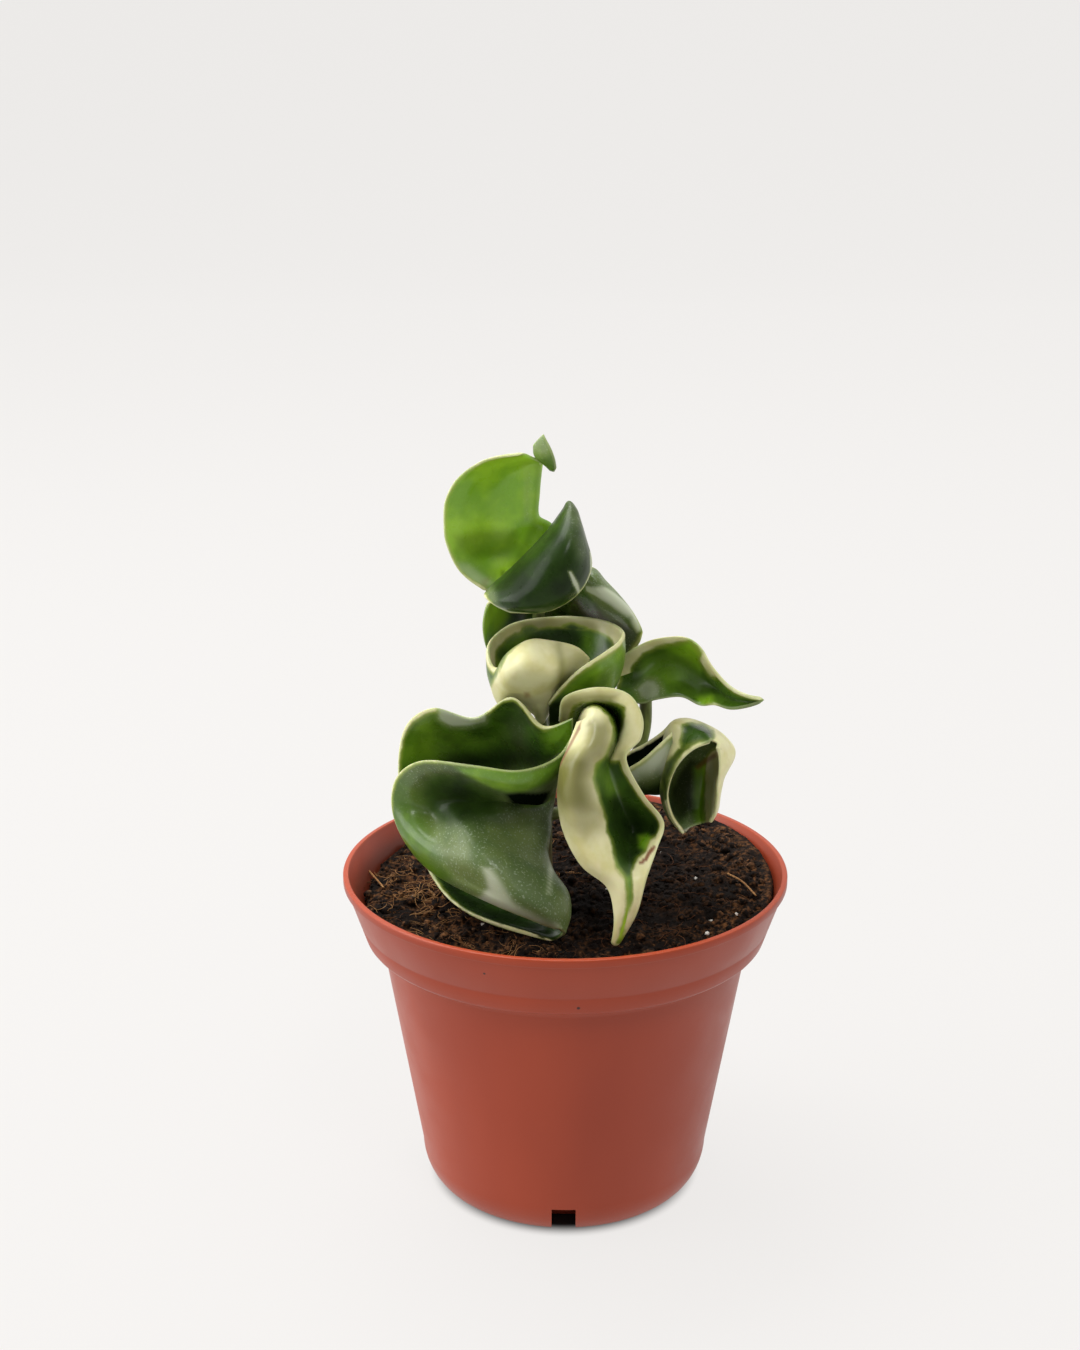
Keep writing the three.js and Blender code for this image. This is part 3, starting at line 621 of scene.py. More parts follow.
def scatter(name, ground, shape, material, per_cm2, smallest, largest, tilt, seed):
    tree = scatter_tree(name + "_tree", material)
    piece = linked_object(name, ground.copy())
    modifier = piece.modifiers.new("scatter", "NODES")
    modifier.node_group = tree
    values = {
        "Shape": shape, "Per Square Metre": per_cm2 * 1.0e4, "Smallest": smallest,
        "Largest": largest, "Tilt": tilt, "Seed": seed,
    }
    for item in tree.interface.items_tree:
        if item.in_out == "INPUT" and item.name in values:
            modifier[item.identifier] = values[item.name]
    apply_modifiers(piece)
    bpy.data.objects.remove(shape)
    settle(piece, "soil")


# %% [markdown]
# The crumbs are round lumps of 80 faces, pushed out of round and a little flat. A fibre is a thin
# three-sided tube along a random, gently bent line. Real coir is 0.1 to 0.2 mm thick, and here it
# is 0.13 mm.

# %% Crumb and fibre shapes
CRUMB_SWELL = 0.16
CRUMB_WAVES = 3
CRUMB_FLATNESS = 0.7
FIBRE_STEPS = 9
FIBRE_SIDES = 3
FIBRE_THICKNESS = 0.13
FIBRE_BEND = 0.16
FIBRE_RISE = 0.12
FIBRE_WANDER = 0.12
FIBRE_DIP = 0.08
FIBRE_SETTLING = 0.25
FIBRE_TAPER = 0.6


def crumb_shape(name, size_mm, seed):
    build = bmesh.new()
    bmesh.ops.create_icosphere(build, subdivisions=2, radius=size_mm * MM / 2)
    draw = np.random.default_rng(seed)
    pushes = draw.normal(size=(6, 3))
    for vertex in build.verts:
        direction = np.array(vertex.co.normalized())
        turns = [CRUMB_WAVES * float(direction @ push) for push in pushes]
        waves = sum(math.sin(turn + k) for k, turn in enumerate(turns))
        vertex.co = vertex.co * (1 + CRUMB_SWELL * waves)
        vertex.co.z *= CRUMB_FLATNESS
    return built_object(name, build)


def fibre_shape(name, length_mm, count, spread_mm, seed):
    """A few bent fibres in one tangle."""
    draw = np.random.default_rng(seed)
    upright = np.array([0, 0, 1])
    last = FIBRE_STEPS - 1
    vertices, faces = [], []
    for _ in range(count):
        heading = draw.uniform(0, 2 * math.pi)
        point = np.array([*draw.uniform(-spread_mm, spread_mm, 2), draw.uniform(0, 0.5)])
        bend, rise = draw.normal(0, FIBRE_BEND), draw.normal(0, FIBRE_RISE)
        first = len(vertices)
        for step in range(FIBRE_STEPS):
            direction = np.array([math.cos(heading), math.sin(heading), rise])
            side = np.array([-direction[1], direction[0], 0])
            taper = FIBRE_THICKNESS / 2 * (1 - FIBRE_TAPER * abs(2 * step / last - 1) ** 3)
            for k in range(FIBRE_SIDES):
                angle = 2 * math.pi * k / FIBRE_SIDES
                ring = point + taper * (math.cos(angle) * side + math.sin(angle) * upright)
                vertices.append(tuple(ring * MM))
            point = point + direction * length_mm / last
            heading += bend + draw.normal(0, FIBRE_WANDER)
            rise += draw.normal(0, FIBRE_DIP) - FIBRE_SETTLING * rise
        for step in range(last):
            low = first + step * FIBRE_SIDES
            for k in range(FIBRE_SIDES):
                a, b = low + k, low + (k + 1) % FIBRE_SIDES
                faces.append((a, b, b + FIBRE_SIDES, a + FIBRE_SIDES))
        faces.append(tuple(first + k for k in reversed(range(FIBRE_SIDES))))
        faces.append(tuple(first + last * FIBRE_SIDES + k for k in range(FIBRE_SIDES)))
    return mesh_object(name, vertices, faces)


def soil_top(radius_mm, left_only=False):
    """The top faces of the bed as a ground mesh, without the ring at the wall."""
    ground = bed.data.copy()
    build = bmesh.new()
    build.from_mesh(ground)
    low = (SOIL_HEIGHT - SOIL_EDGE_DROP - SOIL_RISE_RIGHT - SOIL_RISE_BACK) * MM
    gone = []
    for face in build.faces:
        middle = face.calc_center_median()
        outside = middle.z < low or math.hypot(middle.x, middle.y) > radius_mm * MM
        if outside or (left_only and middle.x > 0):
            gone.append(face)
    bmesh.ops.delete(build, geom=gone, context="FACES")
    build.to_mesh(ground)
    build.free()
    ground.materials.clear()
    return ground


print("a fibre has", (FIBRE_STEPS - 1) * FIBRE_SIDES + 2, "faces")

# %% [markdown]
# The crumbs and grains go almost to the wall. The fibres keep further in, so that their ends
# don't run into it, and the tan ones lie at the left.

# %% Crumbs, fibres and perlite
CRUMB_REACH = 40.4
FIBRE_REACH = 37.5
TAN_FIBRE_REACH = 37.0
whole_top = soil_top(CRUMB_REACH)
scatter("soil_crumbs", whole_top, crumb_shape("crumb", size_mm=1.3, seed=1), crumb_peat,
        per_cm2=22, smallest=0.35, largest=2.0, tilt=0.6, seed=11)
scatter("soil_grains", whole_top, crumb_shape("grain", size_mm=0.6, seed=2), crumb_peat,
        per_cm2=40, smallest=0.4, largest=1.3, tilt=0.6, seed=12)
inner_top = soil_top(FIBRE_REACH)
brown_tangle = fibre_shape("fibres", length_mm=4, count=3, spread_mm=2.0, seed=5)
scatter("coir_fibres_brown", inner_top, brown_tangle, coir_dark,
        per_cm2=4, smallest=0.5, largest=1.3, tilt=0.35, seed=13)
left_top = soil_top(TAN_FIBRE_REACH, left_only=True)
tan_tangle = fibre_shape("tan_fibres", length_mm=4.5, count=5, spread_mm=2.2, seed=6)
scatter("coir_fibres_tan", left_top, tan_tangle, coir_tan,
        per_cm2=4, smallest=0.5, largest=1.1, tilt=0.35, seed=14)
scatter("perlite_bits", inner_top, crumb_shape("perlite_bit", size_mm=1.1, seed=3), perlite,
        per_cm2=0.45, smallest=0.4, largest=1.2, tilt=0.6, seed=15)

# %% [markdown]
# ## The leaves
# A rope hoya's leaves are thick and waxy, and they fold, cup and curl. Each leaf is a sheet
# through a grid of points, made smooth with Catmull-Rom curves along and across, as in the
# solids. Each point is written as where it is seen on a picture plane, in millimetres right and
# up from its middle, and how deep it lies behind the pot's axis.

# %% Smooth sheets
PLANE_DISTANCE = 391.1
eye = np.array([0.0, -EYE_DISTANCE, EYE_HEIGHT])
level = math.cos(EYE_PITCH)
ahead = np.array([-math.sin(EYE_YAW) * level, math.cos(EYE_YAW) * level, -math.sin(EYE_PITCH)])
aside = np.array([math.cos(EYE_YAW), math.sin(EYE_YAW), 0.0])
upward = np.cross(aside, ahead)


def seen(places):
    """World points in mm from [right, up, depth]."""
    sight = places[..., 0:1] * aside + places[..., 1:2] * upward + PLANE_DISTANCE * ahead
    return eye + sight * ((places[..., 2:3] - eye[1]) / sight[..., 1:2])


def picture_place(points):
    """[right, up] in mm on the picture plane, where world points in mm are seen."""
    away = points - eye
    reach = PLANE_DISTANCE / (away @ ahead)
    return np.stack([(away @ aside) * reach, (away @ upward) * reach], axis=-1)


def spline_weights(count, places):
    """What each of count points gives to a Catmull-Rom curve at each place from 0 to 1."""
    rows = np.zeros((len(places), count))
    for row, place in zip(rows, places):
        spot = min(int(place * (count - 1)), count - 2)
        w = place * (count - 1) - spot
        parts = (
            2 * w * w - w - w ** 3, 2 - 5 * w * w + 3 * w ** 3,
            w + 4 * w * w - 3 * w ** 3, w ** 3 - w * w,
        )
        for k, part in zip(range(spot - 1, spot + 3), parts):
            if k < 0:
                row[0] += part
                row[1] -= part / 2
            elif k >= count:
                row[-1] += part
                row[-2] -= part / 2
            else:
                row[k] += part / 2
    return rows


def sheet_at(points, along, across):
    first = spline_weights(points.shape[0], along)
    second = spline_weights(points.shape[1], across)
    return np.einsum("ur,rck,vc->uvk", first, points, second)


middle = seen(np.zeros(3))
print("the picture's middle is at", [round(value, 1) for value in middle.tolist()], "mm")

# %% [markdown]
# A real blade thins towards a rounded margin. So the sheet gets extra rows close to its margin,
# where its half thickness falls off as a quarter circle, and the two faces share the outermost
# vertices. Every blade also keeps what the paint needs: how far each place is from the margin,
# and where it lies along and across.

# %% Blades
LEAF_THICKNESS = 1.5
EDGE_TURNS = 5
EDGE_SHARE = 0.2
EDGE_STEP = 0.02
EDGE_SAMPLES = 12
MARGIN_SHARE = 0.5
MARGIN_REACH = 4.0
SOFTEN_ROUNDS = 6


def rounded_places(start_speed, end_speed, count):
    """Places that crowd at both margins, and the share of the half thickness at each."""
    turns = np.linspace(0, math.pi / 2, EDGE_TURNS)
    inward = LEAF_THICKNESS / 2 * (1 - np.cos(turns))
    start = np.minimum(inward / start_speed, EDGE_SHARE * turns)
    end = 1 - np.minimum(inward / end_speed, EDGE_SHARE * turns)
    middle = np.linspace(start[-1], end[-1], count)
    places = np.concatenate([start[:-1], middle, end[-2::-1]])
    swell = np.concatenate([np.sin(turns[:-1]), np.ones(count), np.sin(turns[-2::-1])])
    return places, swell


def edge_speed(points, axis, at_end):
    """How many mm of blade lie in one unit of place, close to a margin."""
    near = np.array([1 - EDGE_STEP, 1.0]) if at_end else np.array([0.0, EDGE_STEP])
    even = np.linspace(0, 1, EDGE_SAMPLES)
    strip = sheet_at(points, near, even) if axis == 0 else sheet_at(points, even, near)
    step = np.linalg.norm(np.diff(strip, axis=axis), axis=-1)
    return max(float(step.mean()) / EDGE_STEP, 1.0)


def arc_from_start(sheet, axis):
    step = np.linalg.norm(np.diff(sheet, axis=axis), axis=-1)
    length = np.cumsum(step, axis=axis)
    return np.insert(length, 0, 0.0, axis=axis)


def ramp(value, low, high):
    part = np.clip((value - low) / (high - low), 0, 1)
    return part * part * (3 - 2 * part)


def softened(sheet):
    """Eases small kinks of the sheet, and leaves its margin where it is."""
    for _ in range(SOFTEN_ROUNDS):
        inner = sheet[1:-1, 1:-1]
        around = sheet[:-2, 1:-1] + sheet[2:, 1:-1] + sheet[1:-1, :-2] + sheet[1:-1, 2:]
        sheet[1:-1, 1:-1] = 0.5 * inner + 0.125 * around
    return sheet


def blade(sections, rows, columns):
    points = seen(np.array(sections, float))
    (along, swell_along), (across, swell_across) = (
        rounded_places(edge_speed(points, axis, False), edge_speed(points, axis, True), count)
        for axis, count in ((0, rows), (1, columns))
    )
    sheet = softened(sheet_at(points, along, across))
    normals = np.cross(np.gradient(sheet, axis=1), np.gradient(sheet, axis=0))
    normals /= np.maximum(np.linalg.norm(normals, axis=-1, keepdims=True), 1e-9)
    down = arc_from_start(sheet, 0)
    over = arc_from_start(sheet, 1)
    margin = np.minimum.reduce([down, down[-1:] - down, over, over[:, -1:] - over])
    share = MARGIN_SHARE + (1 - MARGIN_SHARE) * ramp(margin, 0, MARGIN_REACH)
    half = LEAF_THICKNESS / 2 * share * np.minimum(swell_along[:, None], swell_across[None, :])
    shape = sheet.shape[:2]
    return {
        "sheet": sheet, "offset": normals * half[..., None], "margin": margin,
        "along": np.broadcast_to(along[:, None], shape),
        "across": np.broadcast_to(across[None, :], shape),
        "from_start": down, "from_end": down[-1:] - down,
        "from_left": over, "from_right": over[:, -1:] - over,
        "seen_at": picture_place(sheet),
    }


print("shares of the half thickness", rounded_places(40, 40, 2)[1].round(2).tolist())

# %% [markdown]
# The paint of a leaf is a few soft masks on its vertices. Each mask is a signed distance in
# millimetres or a share from 0 to 1, and the leaf material gives them their colours and their
# ragged borders. A patch is an outline on the picture plane, kept to one side of the
# blade and to a stretch along and across it, so a fold doesn't take the paint of the layer
# in front of it.

# %% Patches of colour
# Cream dulled to olive is partly painted shade, and the bloom also paints sheen and highlights.
# The masks also carry painted light: glow is light through a blade, and shade is painted shade.
CHANNELS = ("cream", "glow", "bloom", "dull", "shade", "rust")
CREAM_LIMIT = 3.0


def patch(outline, **looks):
    return {"outline": outline, **looks}


def inside_by(places, outline):
    """How far each place lies inside a closed outline, in mm, and below zero outside it."""
    corners = np.array(outline, float)
    nexts = np.roll(corners, -1, axis=0)
    nearest = np.full(places.shape[:-1], 1e9)
    inside = np.zeros(places.shape[:-1], bool)
    x, y = places[..., 0], places[..., 1]
    for (ax, ay), (bx, by) in zip(corners, nexts):
        run, rise = bx - ax, by - ay
        part = ((x - ax) * run + (y - ay) * rise) / (run * run + rise * rise + 1e-12)
        part = np.clip(part, 0, 1)
        nearest = np.minimum(nearest, np.hypot(x - ax - part * run, y - ay - part * rise))
        if ay != by:
            inside ^= ((ay > y) != (by > y)) & (x < ax + run * (y - ay) / rise)
    return np.where(inside, nearest, -nearest)


def paint(form, side, patches, margins, base):
    """The masks of one side of a blade. side is 1 on the face the normals point to, or -1."""
    masks = {name: np.full(form["along"].shape, float(base.get(name, 0.0))) for name in CHANNELS}
    masks["cream"] -= CREAM_LIMIT
    for edge, knots in margins.items():
        position = form["along"] if edge in ("left", "right") else form["across"]
        width = np.interp(position, *zip(*knots))
        masks["cream"] = np.maximum(masks["cream"], width - form["from_" + edge])
    for item in patches:
        if item.get("side", side) != side:
            continue
        distance = inside_by(form["seen_at"], item["outline"])
        here = np.ones(distance.shape, bool)
        for direction in ("along", "across"):
            low, high = item.get(direction, (0, 1))
            here &= (form[direction] >= low) & (form[direction] <= high)
        soft = item.get("soft", 1.0)
        weight = np.where(here, ramp(distance, -soft, soft), 0.0)
        for name in CHANNELS[1:]:
            if name in item:
                masks[name] = masks[name] * (1 - weight) + item[name] * weight
        if "cream" in item:
            cream = masks["cream"]
            drawn = (np.maximum(cream, distance) if item["cream"] > 0
                     else np.minimum(cream, -distance))
            masks["cream"] = np.where(here, drawn, cream)
    masks["cream"] = np.clip(masks["cream"], -CREAM_LIMIT, CREAM_LIMIT)
    return masks


def both_sides(form, patches, margins, base, other_base=None):
    """The masks of both sides. The other side can start from a base of its own."""
    return {
        1: paint(form, 1, patches, margins, base),
        -1: paint(form, -1, patches, margins, other_base or base),
    }


square = [(0, 0), (2, 0), (2, 2), (0, 2)]
print("a square's middle is", inside_by(np.ones((1, 2)), square)[0], "mm inside it")

# %% [markdown]
# The blade's mesh is its two faces with the margin shared. The masks go onto the vertices as
# attributes. Where two blades make one leaf, both are added to the same mesh.

# %% Leaf mesh
ATTRIBUTES = CHANNELS + ("margin_mm",)
FRONT_CORNERS = (0, 1, 2, 3)
BACK_CORNERS = (0, 3, 2, 1)


def leaf_piece(name, blades):
    vertices, faces = [], []
    values = {key: [] for key in ATTRIBUTES}
    for form, masks in blades:
        inner = np.zeros(form["margin"].shape, bool)
        inner[1:-1, 1:-1] = True
        first = sum(len(part) for part in vertices)
        front = first + np.arange(inner.size).reshape(inner.shape)
        back = front.copy()
        back[inner] = first + inner.size + np.arange(inner.sum())
        vertices.append((form["sheet"] + form["offset"]).reshape(-1, 3))
        vertices.append((form["sheet"] - form["offset"])[inner])
        for side, shown in ((1, np.ones_like(inner)), (-1, inner)):
            for key in CHANNELS:
                values[key].append(masks[side][key][shown])
            values["margin_mm"].append(form["margin"][shown])
        for grid, order in ((front, FRONT_CORNERS), (back, BACK_CORNERS)):
            corners = (grid[:-1, :-1], grid[:-1, 1:], grid[1:, 1:], grid[1:, :-1])
            faces.append(np.stack([corners[k] for k in order], -1).reshape(-1, 4))
    vertices, faces = np.concatenate(vertices) * MM, np.concatenate(faces)
    piece = mesh_object(name, vertices.tolist(), faces.tolist())
    for key in ATTRIBUTES:
        layer = piece.data.attributes.new(key, "FLOAT", "POINT")
        layer.data.foreach_set("value", np.concatenate(values[key]).astype(np.float32))
    return piece


print("masks on each leaf:", ", ".join(ATTRIBUTES))

# %% [markdown]
# A hoya leaf is covered with a thick clear cuticle. Its upper side is deep green with a glassy
# shine, its underside is paler and matt with a fine dusty bloom. Cells without chlorophyll make
# the cream parts. Their border runs ragged into the green, through a narrow yellow-green band.
# Where light comes through thin blades, it is painted as a yellow-green glow. Shade is painted
# too: one mask darkens towards near black, and another dulls cream to olive, which is partly the
# cream's own tone. The bloom mask also paints sheen and highlights. One material holds all of
# this and reads the masks. A bloom above 1 is a thicker grey dust.

# %% Leaf finish
GREEN_DEEP = hex_linear("#273F0F")
GREEN_MID = hex_linear("#3D6016")
GREEN_UNDER = hex_linear("#697A41")
GREEN_UNDER_DEEP = hex_linear("#556A36")
GREEN_GLOW = hex_linear("#93C028")
GREEN_GLOW_DEEP = hex_linear("#74A41E")
GREEN_HALO = hex_linear("#93A03C")
DUST_AND_SHEEN = hex_linear("#B0B79C")
SPECKLE = hex_linear("#97A585")
CREAM = hex_linear("#E0DCAC")
CREAM_SHADE = hex_linear("#D2CC8E")
CREAM_OLIVE_AND_SHADE = hex_linear("#76743A")
EDGE_PALE = hex_linear("#B7C08C")
SHADE_DARK = hex_linear("#0B1209")
RUST = hex_linear("#7A3314")
CLOUD_SIZE = 7
CLOUD_EDGES = (0.35, 0.65)
SPECKLE_SIZE = 0.42
SPECKLE_EDGES = (0.57, 0.70)
SPECKLE_STRENGTH = 0.7
RAGGED_SIZE = 2.2
RAGGED_REACH = 0.9
HALO_WIDTH = 1.0
HALO_STRENGTH = 0.7
CREAM_CLOUD_SIZE = 5
CREAM_CLOUD_EDGES = (0.35, 0.7)
CREAM_EDGE = 0.3
EDGE_RAGGED = 0.15
EDGE_WIDTH = (0.1, 0.45)
EDGE_STRENGTH = 0.45
WAX_ROUGHNESS = 0.24
WAX_SIZE = 3.0
WAX_EDGES = (0.3, 0.7)
WAX_VARIATION = 0.08
BLOOM_ROUGHNESS = 0.2
CREAM_ROUGHNESS = 0.14
LEAF_IOR = 1.45
LEAF_SHINE = 0.45
CUTICLE = 0.2
CUTICLE_ROUGHNESS = 0.14
FLESH_SCATTER = 0.15
FLESH_RADIUS = (0.6, 1.0, 0.25)
WAVE_SIZE = 4.0
WAVE_DEPTH = 0.22
PORE_SIZE = 0.5
PORE_DEPTH = 0.04


def read_mask(tree, name):
    node = add_node(tree, "ShaderNodeAttribute", attribute_name=name, attribute_type="GEOMETRY")
    return node.outputs["Fac"]


def leaf_green(tree, bloom, shade):
    cloud = remap(tree, noise_at(tree, CLOUD_SIZE), *CLOUD_EDGES)
    green = mix_colour(tree, cloud, GREEN_DEEP, GREEN_MID)
    under = mix_colour(tree, cloud, GREEN_UNDER_DEEP, GREEN_UNDER)
    speckles = noise_at(tree, SPECKLE_SIZE, 2.0)
    speckles = remap(tree, speckles, *SPECKLE_EDGES, 0.0, SPECKLE_STRENGTH)
    under = mix_colour(tree, speckles, under, SPECKLE)
    # Bloom is the underside's dust; where patches draw sheen or highlights, it is painted light.
    green = mix_colour(tree, remap(tree, bloom, 0.0, 1.0), green, under)
    green = mix_colour(tree, remap(tree, bloom, 1.0, 2.0), green, DUST_AND_SHEEN)
    # Painted light: the glow green stands for light that comes through the blade.
    glow_green = mix_colour(tree, cloud, GREEN_GLOW_DEEP, GREEN_GLOW)
    green = mix_colour(tree, read_mask(tree, "glow"), green, glow_green)
    return mix_colour(tree, shade, green, SHADE_DARK)


def leaf_colour(tree, bloom, shade):
    """The colour, and how far a place is cream."""
    lit = maths(tree, "SUBTRACT", 1.0, shade)
    ragged = maths(tree, "SUBTRACT", noise_at(tree, RAGGED_SIZE, 4.0), 0.5)
    ragged = maths(tree, "MULTIPLY", ragged, RAGGED_REACH)
    cream_mm = maths(tree, "ADD", read_mask(tree, "cream"), ragged)
    halo = remap(tree, cream_mm, -HALO_WIDTH, 0.0, 0.0, HALO_STRENGTH)
    halo = maths(tree, "MULTIPLY", halo, lit)
    green = mix_colour(tree, halo, leaf_green(tree, bloom, shade), GREEN_HALO)
    cream_cloud = remap(tree, noise_at(tree, CREAM_CLOUD_SIZE), *CREAM_CLOUD_EDGES)
    cream = mix_colour(tree, cream_cloud, CREAM, CREAM_SHADE)
    # Cream dulled to olive: partly the cream's own tone, partly painted shade.
    cream = mix_colour(tree, read_mask(tree, "dull"), cream, CREAM_OLIVE_AND_SHADE)
    cream_part = remap(tree, cream_mm, -CREAM_EDGE, CREAM_EDGE)
    colour = mix_colour(tree, cream_part, green, cream)
    margin = maths(tree, "MULTIPLY", ragged, EDGE_RAGGED)
    margin = maths(tree, "ADD", read_mask(tree, "margin_mm"), margin)
    edge = maths(tree, "MULTIPLY", remap(tree, margin, *EDGE_WIDTH, EDGE_STRENGTH, 0.0), lit)
    colour = mix_colour(tree, edge, colour, EDGE_PALE)
    return mix_colour(tree, read_mask(tree, "rust"), colour, RUST), cream_part


def waxy_leaf(name):
    material, tree, shader = new_material(name)
    bloom, shade = read_mask(tree, "bloom"), read_mask(tree, "shade")
    colour, cream_part = leaf_colour(tree, bloom, shade)
    wax = remap(tree, noise_at(tree, WAX_SIZE), *WAX_EDGES, 0.0, WAX_VARIATION)
    matt = maths(tree, "MULTIPLY", maths(tree, "MINIMUM", bloom, 1.0), BLOOM_ROUGHNESS)
    matt = maths(tree, "ADD", matt, maths(tree, "MULTIPLY", cream_part, CREAM_ROUGHNESS))
    roughness = maths(tree, "ADD", maths(tree, "ADD", wax, matt), WAX_ROUGHNESS)
    lit = maths(tree, "SUBTRACT", 1.0, shade)
    waves = bump_from(tree, noise_at(tree, WAVE_SIZE, 2.0), WAVE_DEPTH, 0.5)
    linked = {
        "Base Color": colour,
        "Roughness": roughness,
        "Specular IOR Level": maths(tree, "MULTIPLY", lit, LEAF_SHINE),
        "Coat Weight": maths(tree, "MULTIPLY", lit, CUTICLE),
        "Normal": bump_from(tree, noise_at(tree, PORE_SIZE, 2.0), PORE_DEPTH, 0.5, waves),
    }
    for socket, value in linked.items():
        tree.links.new(value, shader.inputs[socket])
    shader.inputs["IOR"].default_value = LEAF_IOR
    shader.inputs["Coat Roughness"].default_value = CUTICLE_ROUGHNESS
    shader.inputs["Subsurface Weight"].default_value = FLESH_SCATTER
    shader.inputs["Subsurface Radius"].default_value = FLESH_RADIUS
    shader.inputs["Subsurface Scale"].default_value = MM
    return material


leaf_finish = waxy_leaf("waxy_variegated_leaf")
print("leaf material", len(leaf_finish.node_tree.nodes), "nodes")

# %% [markdown]
# Every leaf is grown in the same way. Its blades are painted and made into one mesh, which gets
# the waxy finish and is settled in place of the solid. Only the tables of points, the patches
# and the widths of the cream margins differ.

# %% Growing a leaf


def grow_leaf(node, slot, *blades):
    """One leaf from its painted blades. It stands for the solid of the same name."""
    leaf = leaf_piece(node + "_blade", blades)
    leaf.data.materials.append(leaf_finish)
    settle(leaf, slot, node)

# %% [markdown]
# ### The large folded leaf
# The largest leaf is folded over along its middle. Its front half turns its dusty underside to
# the viewer, and the back half shows the glossy upper side above the front lip. The lip is a
# light green band, and a cream wedge runs into the lower margin. Light through the left rim and
# the lip is painted as glow. Shade is painted under and above the lip and in the lower fold, and
# pale highlights are painted on both halves.

# %% Folded leaf
LEFT_LEAF = [
    [(6.8, -11.6, -15), (7, -13, -15), (6.6, -14.6, -14), (6.2, -15.6, -12.5), (6.2, -15, -11.5),
     (6.4, -13.2, -12), (6.6, -10.8, -12.9), (6.6, -8.6, -13.7)],
    [(3.4, -16.4, -19), (3.2, -18.6, -18.5), (3, -20.4, -14), (3.2, -21, -10), (3.2, -19.4, -8),
     (2.2, -16.4, -7), (1.2, -13.4, -8.8), (0.4, -10.2, -10.6)],
    [(-4.2, -19, -25), (-4, -22.2, -24), (-2.6, -24.4, -14), (0, -25.4, -9), (2.4, -24, -6.5),
     (-1, -18, -3), (-4, -10, -4), (-5.6, -4.4, -9)],
    [(-13.6, -18, -24), (-12.8, -20.6, -22.5), (-10.4, -24.4, -14), (-5, -27.4, -15),
     (1.8, -28, -8), (-5, -20, 1), (-10, -13, 1), (-13.2, -8.6, -3)],
    [(-24, -17.2, -17), (-22.4, -19.4, -15.5), (-19, -25, -12), (-12, -29.4, -18), (1.6, -32, -12),
     (-8, -23, 3), (-17, -14, 3), (-21.6, -6.6, -1)],
    [(-29.2, -21.4, -10), (-26.4, -24.4, -10), (-21, -28.6, -11), (-13, -32.6, -22),
     (1, -35.6, -15), (-8, -29, 2), (-20, -19, 5), (-27.4, -11.4, 2)],
    [(-29, -29.4, -10), (-26, -31.4, -13), (-20, -35, -19), (-10.4, -37, -26), (2.2, -39.6, -19),
     (-6, -36, -3), (-19, -30, 3), (-28, -24, 0)],
    [(-23, -38.2, -14), (-20.4, -39, -18), (-15, -40.6, -23), (-6, -41.6, -28), (5, -43.4, -21),
     (-4, -42.6, -8), (-16, -39.4, -1), (-23, -38, -1)],
    [(-11.6, -44.6, -22), (-10, -44.8, -25), (-6.4, -45.2, -28), (-0.8, -45.8, -29),
     (5.6, -47.2, -24), (-1, -48.4, -18), (-10, -48.4, -15), (-15.4, -47, -14)],
    [(1.8, -50, -27.5), (2.6, -50.4, -28), (3.6, -50.8, -28.3), (4.4, -51.2, -28),
     (4.8, -51.8, -27.3), (4.2, -52.4, -26.5), (3.2, -53, -25.8), (2, -53.2, -25.5)],
]
